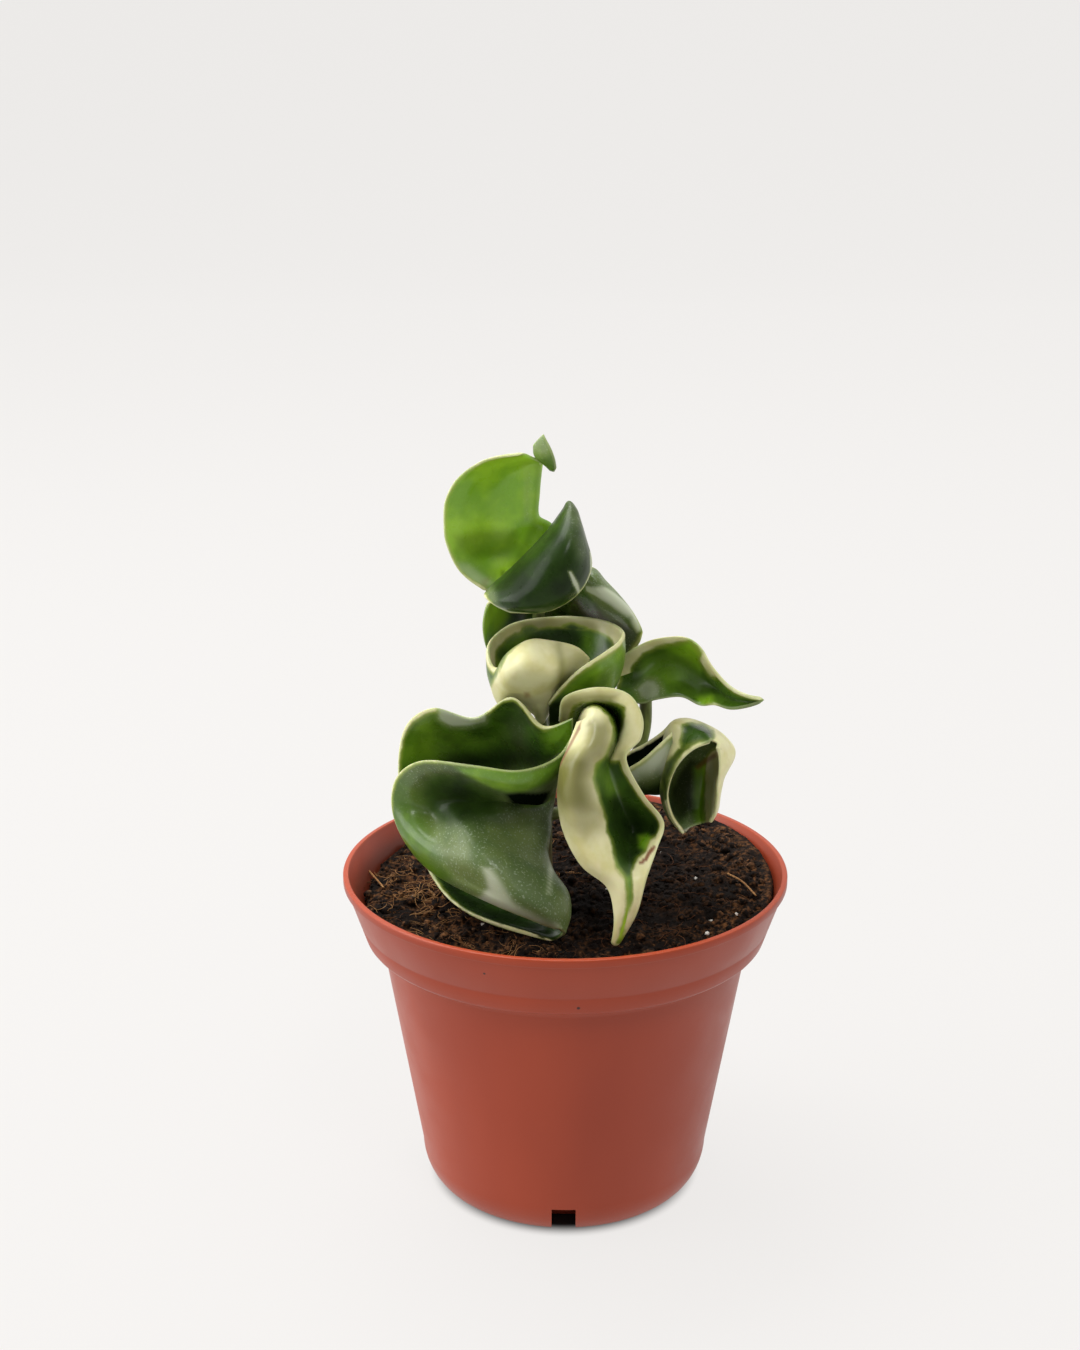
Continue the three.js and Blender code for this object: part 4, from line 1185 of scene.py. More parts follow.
LEFT_PATCHES = [
    patch([(-30.4, -20), (-28.4, -18), (-25.6, -20), (-23.2, -25), (-22.4, -31), (-20, -36.6),
        (-19, -41.8), (-24, -38.6), (-28.4, -33), (-30.8, -28)],
        side=-1, soft=3.0, glow=0.18, bloom=0.3),
    patch([(-28.8, -28.6), (-26, -29.4), (-21.6, -35), (-17.6, -39.8), (-20.4, -41.4), (-25, -37.4),
        (-28.4, -32.6)], side=-1, soft=1.8, glow=0.32, bloom=0.2),
    patch([(-23.2, -19.8), (-20, -18.6), (-14, -19.4), (-8, -23), (-7, -26.2), (-8.4, -29.4),
        (-14, -30.2), (-19, -29.8), (-22.4, -27.4), (-24, -23.4)],
        side=-1, soft=3.0, bloom=0.2, shade=0.62),
    patch([(-19.6, -20.2), (-15.6, -20.2), (-14, -25), (-15.6, -29), (-18.8, -28.6), (-20.8, -25)],
        side=-1, soft=2.0, bloom=0.2, shade=0.75),
    patch([(-16.4, -18.2), (-12, -18.4), (-7, -19), (-2, -19.2), (1, -18.4), (4, -16), (6, -13.4),
        (7.4, -13.4), (6, -16.6), (2.4, -20.4), (-0.4, -21.6), (-3.6, -22.8), (-6.4, -22.8),
        (-9, -22), (-12.4, -20.4), (-15.4, -19.2)],
        side=-1, soft=0.5, glow=0.5, bloom=0.45, shade=0.0),
    patch([(-7, -23), (-4, -22.6), (-1, -22.8), (1.6, -22.6), (1.2, -24), (0, -25.8), (-3.6, -26.2),
        (-5.6, -25.2)], side=-1, soft=0.5, shade=1.0),
    patch([(-5.2, -25.8), (-3.6, -26.6), (0.2, -26.2), (1.4, -24.2), (1.8, -24.4), (0.6, -26.8),
        (-3.4, -27)], side=-1, soft=0.25, glow=0.4, bloom=0.9),
    patch([(-8.4, -26.2), (0, -27.4), (3.2, -30.2), (2.4, -34), (-4, -32.6), (-8, -30.2)],
        side=-1, soft=2.0, shade=0.35),
    patch([(-28.8, -28.6), (-20, -35), (-14, -30.2), (-4, -30.2), (2.4, -35), (5.2, -46), (-4, -46),
        (-16, -41), (-23, -37.4)], side=-1, soft=3.0, shade=0.16),
    # Partly painted highlight, partly the dust of the underside.
    patch([(-21.2, -37), (-19.6, -34.6), (-17.2, -33), (-15.6, -34.2), (-17.6, -37),
        (-19.6, -38.2)], side=-1, soft=1.6, bloom=0.9, shade=0.2),
    patch([(1.2, -32.6), (1.8, -32.6), (2, -41.8), (1.2, -41.8)], side=-1, soft=0.4, bloom=1.4),
    patch([(-16.8, -43.6), (-13.6, -44.2), (-11.2, -43.6), (-10, -42.2), (-10.4, -40.6),
        (-11.2, -38.4), (-9.6, -38.6), (-7.8, -40.6), (-6.4, -42.6), (-4.8, -45), (-1.6, -46.6),
        (3.6, -49.8), (4, -52.4), (-1.8, -49.8), (-6.8, -47.8), (-10.6, -46.2), (-14, -45.8)],
        side=-1, soft=0.9, glow=0.0, bloom=1.9, shade=0.0),
    patch([(-16.8, -44.2), (-13.6, -44.6), (-10.6, -45.4), (-6.6, -46.8), (-1.8, -48.6), (3.4, -51),
        (3.4, -52.2), (-1.8, -49.8), (-6.8, -48), (-10.6, -46.6), (-14, -46)], side=-1, cream=1.0),
    patch([(-8, -35.4), (0, -34.2), (2.4, -35), (4, -45), (2.4, -48.6), (-2.4, -46), (-6, -42)],
        side=-1, soft=4.0, bloom=0.9, shade=0.3),
    patch([(1, -33), (1.8, -33), (2.2, -38.6), (1.8, -44.2), (0.8, -44.2), (1.2, -38.6)],
        side=-1, soft=0.8, bloom=1.7, shade=0.0),
    patch([(-20.8, -39.8), (-13.6, -45.2), (-6.4, -47.6), (3.6, -51.4), (4.8, -54.2), (-2, -53.8),
        (-10, -50.6), (-16.8, -46.2)], side=1, soft=1.5, glow=0.0, shade=0.8),
    patch([(-28.8, -18), (-28.2, -12.6), (-26.8, -9), (-24, -6.8), (-20.8, -7), (-20, -11),
        (-20.8, -16.4), (-25, -17.4)], side=1, soft=3.0, glow=0.42),
    patch([(-20, -9.4), (-12, -10.2), (-8, -7.4), (-7, -12), (-14, -14.6), (-20, -15.4)],
        side=1, soft=3.0, glow=0.18),
    patch([(-14, -15.4), (-7, -14), (1, -13.4), (3.2, -15.4), (1, -18.8), (-7, -19.2),
        (-12.4, -18.6), (-20, -17.4)], side=1, soft=2.5, shade=0.8),
    # Painted highlight, greying the glossy green of the back half.
    patch([(-8, -7.4), (-4, -6.6), (-1, -10.6), (-2.4, -13.4), (-7, -12)],
        side=1, soft=2.5, bloom=0.4),
    patch([(1.2, -9.8), (4.4, -9), (6.4, -9.8), (6.4, -13), (3.6, -14.6), (1.6, -13)],
        side=1, soft=1.5, glow=0.25),
    # Painted pale highlight on the back half, in the dust's grey.
    patch([(-21.2, -5.4), (-18, -5.4), (-15.6, -6.2), (-10.4, -7.2), (-10.8, -9), (-14, -9.8),
        (-17.6, -9.8), (-20, -8.6)], soft=1.2, cream=-1.0, bloom=2.4),
    patch([(1.6, -9.4), (7, -8.2), (7.2, -12.6), (5.2, -15), (2, -14.6)],
        side=1, soft=2.0, glow=0.4, shade=0.0),
]
left_form = blade(LEFT_LEAF, rows=96, columns=110)
left_margins = {
    "left": [(0, -0.3), (0.3, -0.2), (0.6, 0.3), (0.8, 0.35), (1, 0.5)],
    "right": [(0, -1), (0.1, 0.4), (0.16, 0.6), (0.22, 0.4), (0.3, 0.1), (0.36, 0.6), (0.5, 0.7),
              (0.62, 0.25), (1, 0.3)],
}
left_paint = both_sides(left_form, LEFT_PATCHES, left_margins, {"bloom": 0.0}, {"bloom": 1.0})
grow_leaf("leaf_left", "leaf_dark", (left_form, left_paint))

# %% [markdown]
# ### The front leaf
# The front leaf curls over at the top like a hood with a thick cream band round it. A cream
# tongue rises inside the hood and widens into the cream left half, which is dulled to olive
# under the hood, partly as painted shade. The right half is a deep glossy green valley with a
# cream margin, darkened further by painted shade, and a green stripe runs to the tip. Light
# through the blade is painted as glow.

# %% Front leaf
FRONT_LEAF = [
    [(7.4, -9.6, -17.5), (8.6, -9.4, -18.5), (8.8, -10.4, -14.5), (7.4, -11.2, -6.5),
     (5.4, -10.8, -6), (3.7, -9.2, -8)],
    [(7, -10.6, -19), (9.8, -9, -21.5), (10, -7.6, -17.5), (9.2, -6.8, -7.5), (6.8, -5.8, -10),
     (4.8, -4.4, -11.5)],
    [(6.2, -12.4, -20.5), (10.4, -10.4, -22.5), (11.6, -7.4, -18), (12, -6.2, -5),
     (11.6, -4.6, -13.5), (11.4, -2.4, -15)],
    [(5.6, -14, -21.5), (10.4, -12, -23.5), (13.2, -9.4, -19), (14.8, -8.4, -6), (16, -5.6, -14.5),
     (17.6, -3.7, -16)],
    [(5, -15.6, -22), (10, -13.6, -24.5), (13.8, -12.4, -20), (15.6, -11.6, -8), (17.8, -9, -15.5),
     (20.5, -8.2, -17)],
    [(4.2, -17.4, -22), (9, -15.4, -25.5), (13, -15, -21), (15, -14.6, -12), (17, -13, -16.5),
     (20.2, -12.8, -18)],
    [(3.8, -19.4, -22), (7.4, -18.6, -26), (10.4, -19.4, -23), (13, -19, -17), (15.4, -17.6, -17),
     (17.2, -16.6, -19)],
    [(3.4, -24.4, -22), (7, -25, -26), (11.4, -25.6, -23), (15.6, -26, -16), (18.4, -24.4, -17),
     (20.8, -24, -20)],
    [(4.6, -31.4, -22), (8.6, -32.2, -25), (12.8, -31.4, -22), (18, -31.4, -15), (22.4, -30, -17),
     (24.8, -29.4, -20)],
    [(8.2, -38.2, -24), (11.4, -37.4, -26), (14, -36.6, -25), (17.6, -35.4, -20), (21, -34.6, -21),
     (23.4, -34.8, -23)],
    [(13.4, -42.4, -26), (15, -42.4, -27), (16.4, -42.2, -27.5), (18, -41.8, -26.5),
     (19.8, -41.2, -26), (21.4, -40.6, -26)],
    [(14.8, -48.6, -28), (15.8, -48.8, -28.5), (16.8, -48.8, -28.5), (17.8, -48.6, -28.5),
     (18.6, -48.2, -28), (19.4, -47.8, -28)],
    [(14.2, -53.6, -29), (14.6, -54, -29), (15, -54.2, -29), (15.4, -54.2, -29), (15.6, -54, -29),
     (16, -53.6, -29)],
]
FRONT_PATCHES = [
    patch([(2.4, -9.8), (2.8, -5), (5, -2), (10, -0.6), (18, -1.8), (22.4, -5), (22.4, -11),
        (21, -14.6), (18.4, -17), (14.8, -17), (15.8, -14.8), (16.2, -14), (16.8, -12.2),
        (17.4, -10.2), (17.8, -8), (17.4, -6.2), (16.2, -5.2), (14.2, -4.6), (11, -4.4),
        (8.6, -4.6), (6.6, -5.4), (6, -6.6), (5, -9.4)],
        along=(0.0, 0.52), across=(0.62, 1.0), cream=1.0),
    patch([(6, -9.8), (7, -9), (7.6, -8.2), (9.6, -7), (11.6, -7.4), (13, -8.8), (13.8, -10.6),
        (13.4, -13), (12.6, -15), (11.8, -16.2), (10.6, -17.2), (10, -18.6), (9.8, -20.6),
        (10.4, -22.6), (11, -25), (11.8, -27), (12.4, -29.4), (12.6, -31.6), (13.4, -33.4),
        (13.8, -35), (14.2, -37), (14.8, -39), (16, -40.4), (16.6, -41.4), (17, -43.6), (17, -46.4),
        (16.2, -49.6), (15.4, -53), (14.8, -55), (12, -55), (12, -41), (4, -37), (0, -25),
        (1, -17)], across=(0.0, 0.62), cream=1.0),
    patch([(24, -32.6), (23.4, -32.8), (22.6, -33.4), (21.6, -35.4), (20, -37.4), (18.6, -39.6),
        (18.4, -42.4), (18.4, -45), (17.6, -47.4), (16.6, -52.4), (16, -54.6), (20, -54.6),
        (24, -43), (26.4, -35)], along=(0.6, 1.0), across=(0.5, 1.0), cream=1.0),
    # Cream dulled to olive under the hood, partly painted shade.
    patch([(2.4, -18), (5, -15.4), (10.4, -15), (10.4, -17.8), (9.4, -21), (10.6, -25),
        (11.6, -27.4), (9, -28.6), (4.4, -27.4), (2.4, -24)],
        across=(0.0, 0.62), soft=2.5, dull=1.0),
    patch([(4.4, -27.4), (11.6, -27), (12.4, -30.6), (9, -32.2), (5.2, -30.6)],
        across=(0.0, 0.62), soft=3.0, dull=0.6),
    patch([(3.2, -9.4), (3.6, -5.4), (6.4, -3.8), (12, -3), (15.6, -3.8), (14.4, -4.8), (10, -4.8),
        (7.2, -5.6), (6, -7.4), (5.2, -9.8)],
        along=(0.0, 0.3), across=(0.62, 1.0), soft=1.2, dull=0.7),
    patch([(10, -9.8), (13.2, -9), (13.8, -11.4), (13, -14.6), (12, -16.6), (8.8, -16.6),
        (9.2, -13.4)], across=(0.0, 0.62), soft=1.6, dull=0.8),
    patch([(5.2, -9.8), (6, -6.6), (7, -5.4), (11, -4.6), (16, -5.2), (17.6, -7.4), (17, -12),
        (15.8, -14.8), (13.6, -15.4), (13.8, -10.6), (12, -7.6), (9.6, -7), (7.6, -8.2)],
        along=(0.0, 0.55), across=(0.2, 1.0), soft=1.0, glow=0.1, shade=0.0),
    patch([(11.6, -24.4), (15, -24.2), (20, -26.2), (24, -29.4), (23.6, -32.6), (21.6, -35),
        (20, -36.6), (18.8, -39), (15.6, -38.6), (14, -35), (12.8, -30)],
        along=(0.4, 1.0), across=(0.3, 1.0), soft=1.5, shade=0.7),
    # Painted glow, with a faint painted highlight, at the top of the valley.
    patch([(10.4, -17), (14.4, -16.2), (14, -20), (16.4, -23.4), (13.2, -24.6), (10.8, -22)],
        along=(0.3, 0.8), across=(0.2, 1.0), soft=1.5, glow=0.25, bloom=0.25),
    patch([(20, -32.6), (22, -32.2), (23.2, -33.4), (21.6, -35.4), (20.2, -35)],
        across=(0.3, 1.0), soft=0.8, glow=0.75, shade=0.0),
    patch([(14.4, -37.4), (16.4, -40.6), (18, -40.6), (18.4, -45), (16.4, -52.6), (15.6, -52.6),
        (16.8, -46), (16.2, -41)], across=(0.3, 1.0), soft=0.8, glow=0.5, bloom=0.2, shade=0.0),
    patch([(16.8, -46), (18.4, -46), (16.8, -52.6), (15.4, -52.6)], soft=0.6, glow=1.0, shade=0.0),
    patch([(23.4, -34.2), (22.6, -34.6), (21.8, -35.6), (21.2, -36.8), (20, -37.8), (20.2, -38.2),
        (21.6, -37.4), (22.2, -36.2), (23, -35.2)], soft=0.15, rust=0.9),
    patch([(8.8, -9.6), (8, -10.6), (7, -12.4), (5.8, -14.4), (4.2, -17.6), (3.8, -18.6),
        (4.6, -18), (6.2, -15), (7.4, -13), (8.6, -11)], across=(0.0, 0.5), soft=0.25, rust=0.75),
]
front_form = blade(FRONT_LEAF, rows=150, columns=80)
front_margins = {
    "right": [(0, 2.2), (0.4, 2.2), (0.52, 1.4), (0.62, 1.0), (0.75, 1.0), (0.85, 0.9), (1, 0.6)],
    "left": [(0, 0.8), (1, 0.8)],
    "end": [(0, 0.6), (1, 0.6)],
}
front_paint = both_sides(front_form, FRONT_PATCHES, front_margins, {"bloom": 0.1})
grow_leaf("leaf_front", "leaf_variegated", (front_form, front_paint))

# %% [markdown]
# ### The cup leaf
# The cup leaf curls into a bowl. Its far rim shows a cream band, dulled to olive partly as
# painted shade, above a dark green hollow, darkened further by painted shade. Its near wall
# bulges into two cream lobes, dulled in places partly by painted shade, and the right wall is
# green with a pale rim and painted glow where light comes through.

# %% Cup leaf
CUP_LEAF = [
    [(1.6, -5.6, -6), (1.8, -6.4, -5.4), (1.8, -7.4, -4.8), (1.8, -8.6, -4), (1.6, -10.2, -3)],
    [(4, -2.6, -8.6), (4.2, -3.8, -7.6), (4, -5.4, -6), (3.6, -7.6, -4.8), (3, -10, -3)],
    [(7.6, 1, -10.3), (8, -0.6, -9.3), (7.4, -3, -7.2), (6, -5.8, -5), (4.4, -9, -3)],
    [(12, 4, -10), (12.2, 2.2, -9.5), (11.2, -0.6, -7.8), (8.8, -3.8, -5.5), (5.4, -7.6, -3)],
    [(15.8, 6.8, -6), (15.6, 4.2, -6), (15, 0.8, -5), (12.8, -3.4, -3.5), (6.4, -6.2, -2)],
    [(16.4, 9.2, 2), (16.2, 6.6, 1.6), (15.6, 2.2, 1), (13.2, -3, 0.2), (6, -6.8, 0)],
    [(12, 11.2, 8), (11.8, 8.6, 7.8), (10.8, 4, 6), (8.8, -1.8, 3.5), (4.4, -6.4, 1.5)],
    [(4, 11.8, 10.1), (3.8, 9.2, 9.6), (3.4, 4.6, 8), (3, -1, 5), (2.6, -6, 2.5)],
    [(-4.8, 10.6, 8.5), (-4.4, 7.8, 8.5), (-3.8, 3.6, 8), (-2.4, -2, 5.5), (0.8, -6.4, 3)],
    [(-9.6, 7.4, 3), (-9.2, 5, 3.7), (-8.2, 0.6, 4), (-6.2, -4.4, 3.5), (-1.6, -7, 2.5)],
    [(-10.4, 3.8, -2), (-10.2, 2, -1.7), (-9.4, -1.4, -0.5), (-7.6, -5.6, 0.5), (-3.2, -7.4, 1)],
    [(-8.4, 1.2, -4), (-8.6, 0.6, -5), (-8.4, -1.8, -5), (-7, -5.4, -3), (-3.8, -7.2, -1)],
    [(-5.4, 2.6, -3), (-6, 4, -8), (-5.8, 0.6, -11.5), (-5.2, -4, -5.5), (-3.2, -7, -2.5)],
    [(-1.6, 3.8, -2), (-2, 6.4, -7.5), (-1.8, 2.2, -13), (-1.8, -3, -8), (-1.4, -7.8, -3)],
    [(2.4, 3.4, -1.5), (2, 6.2, -6), (2.2, 1.6, -11), (0.8, -3.4, -7), (-0.6, -9.2, -3)],
    [(6.4, 2.8, -1.5), (6.6, 5.2, -4.5), (5.8, 1.4, -7), (3, -3, -5), (0.2, -10, -2.7)],
    [(9.6, 1.4, -1), (10, 3, -3), (8.8, -0.2, -4), (4.4, -4, -3), (0.6, -9.2, -1.8)],
]
CUP_LOBES = [
    (-14, -13), (-14, 7), (-11, 1.4), (-9.6, -3), (-8, -0.2), (-5.6, 3.8), (-2, 7), (4, 7),
    (12, 4), (10, 2.8), (6.8, 0.4), (4, -3.4), (2, -6.2), (1.6, -13),
]
CUP_PATCHES = [
    patch([(-12.4, 0.6), (-12, 7), (-9.6, 10.6), (-5, 12.6), (8, 13), (14.4, 11.4), (18.4, 8.2),
        (18, 3), (14.4, 4.6), (15.6, 6), (14.6, 7.6), (12, 9), (7, 9.8), (1, 9.8), (-4, 9),
        (-7.2, 7.6), (-8.8, 6), (-9.6, 4.6), (-9.6, 1.4)],
        side=-1, along=(0.25, 0.75), across=(0.0, 0.5), cream=1.0),
    # Cream dulled to olive along the far rim, partly painted shade.
    patch([(-4, 10.6), (1, 11.6), (10, 11.2), (12.8, 9.8), (12, 8.2), (6, 8.8), (-3.2, 8.2)],
        side=-1, soft=1.2, dull=0.75),
    patch([(-4, 9.6), (-1.6, 10.2), (1, 9), (-2, 7.8), (-4.4, 7.8)],
        side=-1, soft=0.8, cream=-1.0, bloom=0.5),
    patch([(4, 10.2), (6.8, 10.6), (10, 9.6), (8.8, 8.2), (5.2, 8.6)],
        side=-1, soft=0.8, cream=-1.0, bloom=0.3),
    patch([(12, 11.4), (14.8, 10.6), (15.6, 8.2), (14, 7), (12, 8.2)],
        side=-1, soft=1.0, glow=0.5, dull=0.35),
    patch([(-2.8, 8.2), (4, 9.4), (8.6, 8.6), (9.6, 4.6), (4, 4.6), (-2.8, 5.4)],
        side=-1, soft=1.4, bloom=0.0, shade=0.62),
    patch([(9.2, 8.2), (12.4, 8.2), (14.2, 6.6), (13, 4.2), (10.4, 3.4), (8.8, 5.8)],
        side=-1, soft=1.2, cream=-2.0, glow=0.25, bloom=0.0, shade=0.3),
    patch([(-5.6, 9), (-2, 8.6), (-2.4, 6.2), (-6.8, 5), (-8, 6.2)], side=-1, soft=1.2, glow=0.35),
    patch([(-10.4, 3), (-7.6, 2.6), (-8, -0.2), (-10, -0.6)], side=-1, soft=1.0, glow=0.6),
    patch(CUP_LOBES, side=1, along=(0.5, 1.0), cream=1.0),
    patch(CUP_LOBES, side=-1, along=(0.72, 1.0), cream=1.0),
    patch([(1.6, 5.8), (4, 6.4), (7.6, 5.2), (10, 3.4), (7, 0.8), (4.4, -2.6), (2.8, -5.8),
        (1.6, -5), (2.4, -1), (3.2, 1.8)], side=1, soft=1.2, dull=0.42),
    patch([(3, 6), (3.8, 6), (4.4, 1.4), (4.2, -3), (3.2, -3), (3.4, 1.4)],
        side=1, soft=0.8, dull=0.75),
    patch([(-8.4, -4.2), (-4, -3), (1, -3.8), (2.4, -5), (0, -5.8), (-4, -6.6)],
        side=1, soft=1.8, dull=0.3),
    patch([(-3.6, -5.4), (1, -5.4), (1.4, -11.4), (-1.2, -11)],
        along=(0.7, 1.0), soft=0.5, cream=1.0, dull=0.0, shade=0.0),
    patch([(-11.2, 4), (-9.2, 0.6), (-8, -5), (-10, -6.2), (-11.6, -1)],
        side=1, soft=1.2, glow=0.2, dull=0.25),
    patch([(-3, -2.8), (-2, -2.8), (-1.8, -3.8), (-2.8, -4)], side=1, soft=0.4, rust=0.5),
    patch([(5.2, -3), (8, 0.6), (12, 3), (13.6, 2.2), (12, -1.4), (8, -3)],
        side=1, along=(0.0, 0.5), soft=1.6, glow=0.65),
    patch([(12.8, 3.8), (16.4, 7), (16.8, 1.4), (14.4, -2.2), (12, -3)],
        side=1, along=(0.0, 0.5), soft=1.6, glow=0.55, bloom=0.8),
    patch([(1.2, -5.4), (4, -4.6), (4, -9.4), (1, -9.4)], along=(0.0, 0.5), soft=0.6, shade=0.75),
]
cup_form = blade(CUP_LEAF, rows=190, columns=60)
cup_margins = {"left": [(0, 0.6), (0.3, 0.6), (0.5, 0.9), (1, 1.2)]}
cup_paint = both_sides(cup_form, CUP_PATCHES, cup_margins, {"bloom": 0.25})
grow_leaf("leaf_cup", "leaf_variegated", (cup_form, cup_paint))

# %% [markdown]
# ### The bill leaf
# The bill leaf points to the right like a bird's bill. It is hollow towards the viewer, with a
# cream upper margin, and carries a grey dusty spot over its stalk. Light through the blade is
# painted as glow, and shade is painted in the hollow and along the lower edge.

# %% Bill leaf
BILL_LEAF = [
    [(16, 3.6, 4.5), (15.5, 1, 5.2), (15.3, -1.4, 5), (15.4, -3.2, 4.5), (16.2, -4.8, 3)],
    [(19.2, 5.6, 1), (19, 2.8, 4), (19.2, -0.2, 5), (19.6, -3.4, 4), (20.2, -5.8, 1)],
    [(23.2, 7.2, -1), (23, 4.6, 4), (23, 1.4, 5), (23, -2, 3), (23.2, -5, -1)],
    [(28.6, 7.6, -3), (28.2, 5.2, 2), (28, 2, 3), (28, -1.8, 1), (28.2, -4.4, -3)],
    [(31.8, 5.8, -5), (31.8, 3.2, 0), (31.6, 0, 1), (31.6, -3.6, -1), (32, -6.1, -5)],
    [(34.2, 1.8, -6), (34.2, 0.2, -2), (34.4, -1.8, -1), (34.6, -4, -3), (35, -6, -7)],
    [(37.8, -2.2, -7), (37.8, -3.2, -5), (38, -4.2, -4), (38, -5.6, -5.5), (38, -6.8, -8)],
    [(41.4, -4.1, -8), (41.2, -4.6, -7), (41.2, -5, -6.5), (41.2, -5.8, -7), (41.2, -6.4, -8)],
    [(44.4, -4.7, -8), (44.6, -4.8, -8), (44.8, -5, -8), (44.6, -5.2, -8), (44.4, -5.4, -8)],
]
BILL_PATCHES = [
    patch([(15.4, -5), (15.4, 2.2), (16.8, 5), (18.8, 7.4), (22, 9), (30, 9.8), (33.2, 7.8),
        (35.6, 4.6), (37.2, 1), (36, -0.2), (34.6, 0.4), (32.8, 3), (31.8, 5.2), (30, 7), (27.2, 7),
        (23.2, 6.4), (20.2, 5), (18.4, 2.6), (17.4, -1), (17.6, -3)], across=(0.0, 0.4), cream=1.0),
    patch([(24.8, 6.8), (30.4, 7.4), (32.8, 4.6), (32.6, 1.4), (30, 3), (26.4, 4.2)],
        soft=1.4, cream=-1.0, glow=1.0, shade=0.0),
    patch([(18.8, 4), (25.6, 5.8), (30, 3), (32, -3), (26, -4), (20, -1)], soft=3.0, glow=0.28),
    patch([(31.2, -5), (34.4, -4.6), (35.2, -6.6), (31.6, -6.6)], soft=0.8, glow=0.75),
    patch([(28.8, -1.4), (34.8, -1.8), (35.2, -4.6), (30, -4.4)], soft=2.0, shade=0.22),
    patch([(20, -1.6), (21.6, -0.6), (23.6, -1), (24.8, -3), (24.4, -5), (22, -5.8), (20, -5.2),
        (19, -3)], soft=1.4, glow=0.0, bloom=1.6, shade=0.0),
    patch([(18, 2.6), (20, 4), (20.4, -1), (18.8, -2.6), (17.8, -1)], soft=1.2, shade=0.35),
    patch([(27.2, -3), (30, -1), (30.8, -3.8), (28, -4.2)], soft=1.2, shade=0.4),
    patch([(35.2, -6.2), (39, -5), (44.4, -5), (44.4, -6.2), (39.6, -7.8)], soft=0.8, shade=0.3),
]
bill_form = blade(BILL_LEAF, rows=100, columns=56)
bill_margins = {
    "left": [(0, 0.6), (0.15, 1.0), (0.45, 1.2), (0.6, 0.7), (0.75, 0.4), (1, 0.1)],
    "right": [(0, -1), (0.5, -1), (0.57, 0.1), (0.64, 0.1), (0.7, -1), (1, -1)],
    "start": [(0, 0.9), (0.5, 0.6), (0.8, -0.5), (1, -1)],
}
bill_paint = both_sides(bill_form, BILL_PATCHES, bill_margins, {"bloom": 0.1, "glow": 0.12})
grow_leaf("leaf_bill", "leaf_bright", (bill_form, bill_paint))

# %% [markdown]
# ### The right hood leaf
# This leaf is a hood that opens towards the viewer, and its base is a second blade folded like a
# gutter. The outside is pale and dusty. The hollow has painted shade on the left and, on the
# right, a bright green glow that paints light coming through, between cream margins. The
# gutter's far wall is black with painted shade.

# %% Right hood leaf
RIGHT_HOOD = [
    [(34, -13.4, -12.5), (34.2, -13, -12), (34.4, -13, -11.5), (34.8, -13.2, -11.2),
     (35.2, -13.4, -11.2), (35.5, -13.8, -11.5), (35.4, -14.6, -12)],
    [(30.8, -14.8, -13), (29.8, -13, -9), (30.4, -10.8, -6), (33.4, -10.9, -4), (36.2, -12.4, -4),
     (37.4, -14.6, -7), (35.8, -16.6, -12)],
    [(28, -17.4, -13), (26.6, -14.8, -8), (26.2, -10.4, -4), (29.4, -9.5, -1), (34.8, -12.2, -1),
     (38.4, -15.6, -4.5), (35.8, -19.4, -12)],
    [(26.2, -20.6, -12.7), (25, -18.6, -6), (25.4, -15.4, -1), (30.4, -14, 2), (34.8, -15.4, 1),
     (36.5, -18.8, -4), (35.5, -22.2, -12)],
    [(25.4, -24.4, -12), (24.6, -23, -5), (26.2, -21, 2), (30.8, -20, 4), (33.8, -20.4, 3),
     (35.4, -22.4, -5), (35.4, -25, -11.5)],
    [(26.4, -28.4, -11), (26.2, -28, -5), (28.2, -27.2, 2), (31, -26.6, 3), (33, -26.4, 2),
     (34.8, -26.6, -4.5), (35, -27.6, -11)],
    [(28.6, -31.8, -10), (29.2, -31.4, -6), (30, -30.6, -2), (31.4, -30, -1), (32.6, -29.7, -1),
     (33.8, -29.4, -5.5), (34, -29.5, -10.5)],
]
RIGHT_ARM = [
    [(26.2, -9.4, -1), (27.2, -14, 0), (27.2, -18, -3), (26.8, -15.6, -7), (26.4, -11.4, -8)],
    [(24.2, -11.4, -1), (24.8, -15.4, 0), (24.8, -22.8, -4), (24.2, -18.4, -8), (23.6, -14, -9)],
    [(21, -13.6, 0), (21.4, -17.8, 0), (21.2, -23.2, -4), (20.8, -20.8, -8), (20.2, -17, -9)],
    [(16, -16.2, 2), (15.8, -19.4, 0.5), (15.8, -23.6, -3), (15.6, -21.8, -6), (15.4, -19.8, -7)],
]
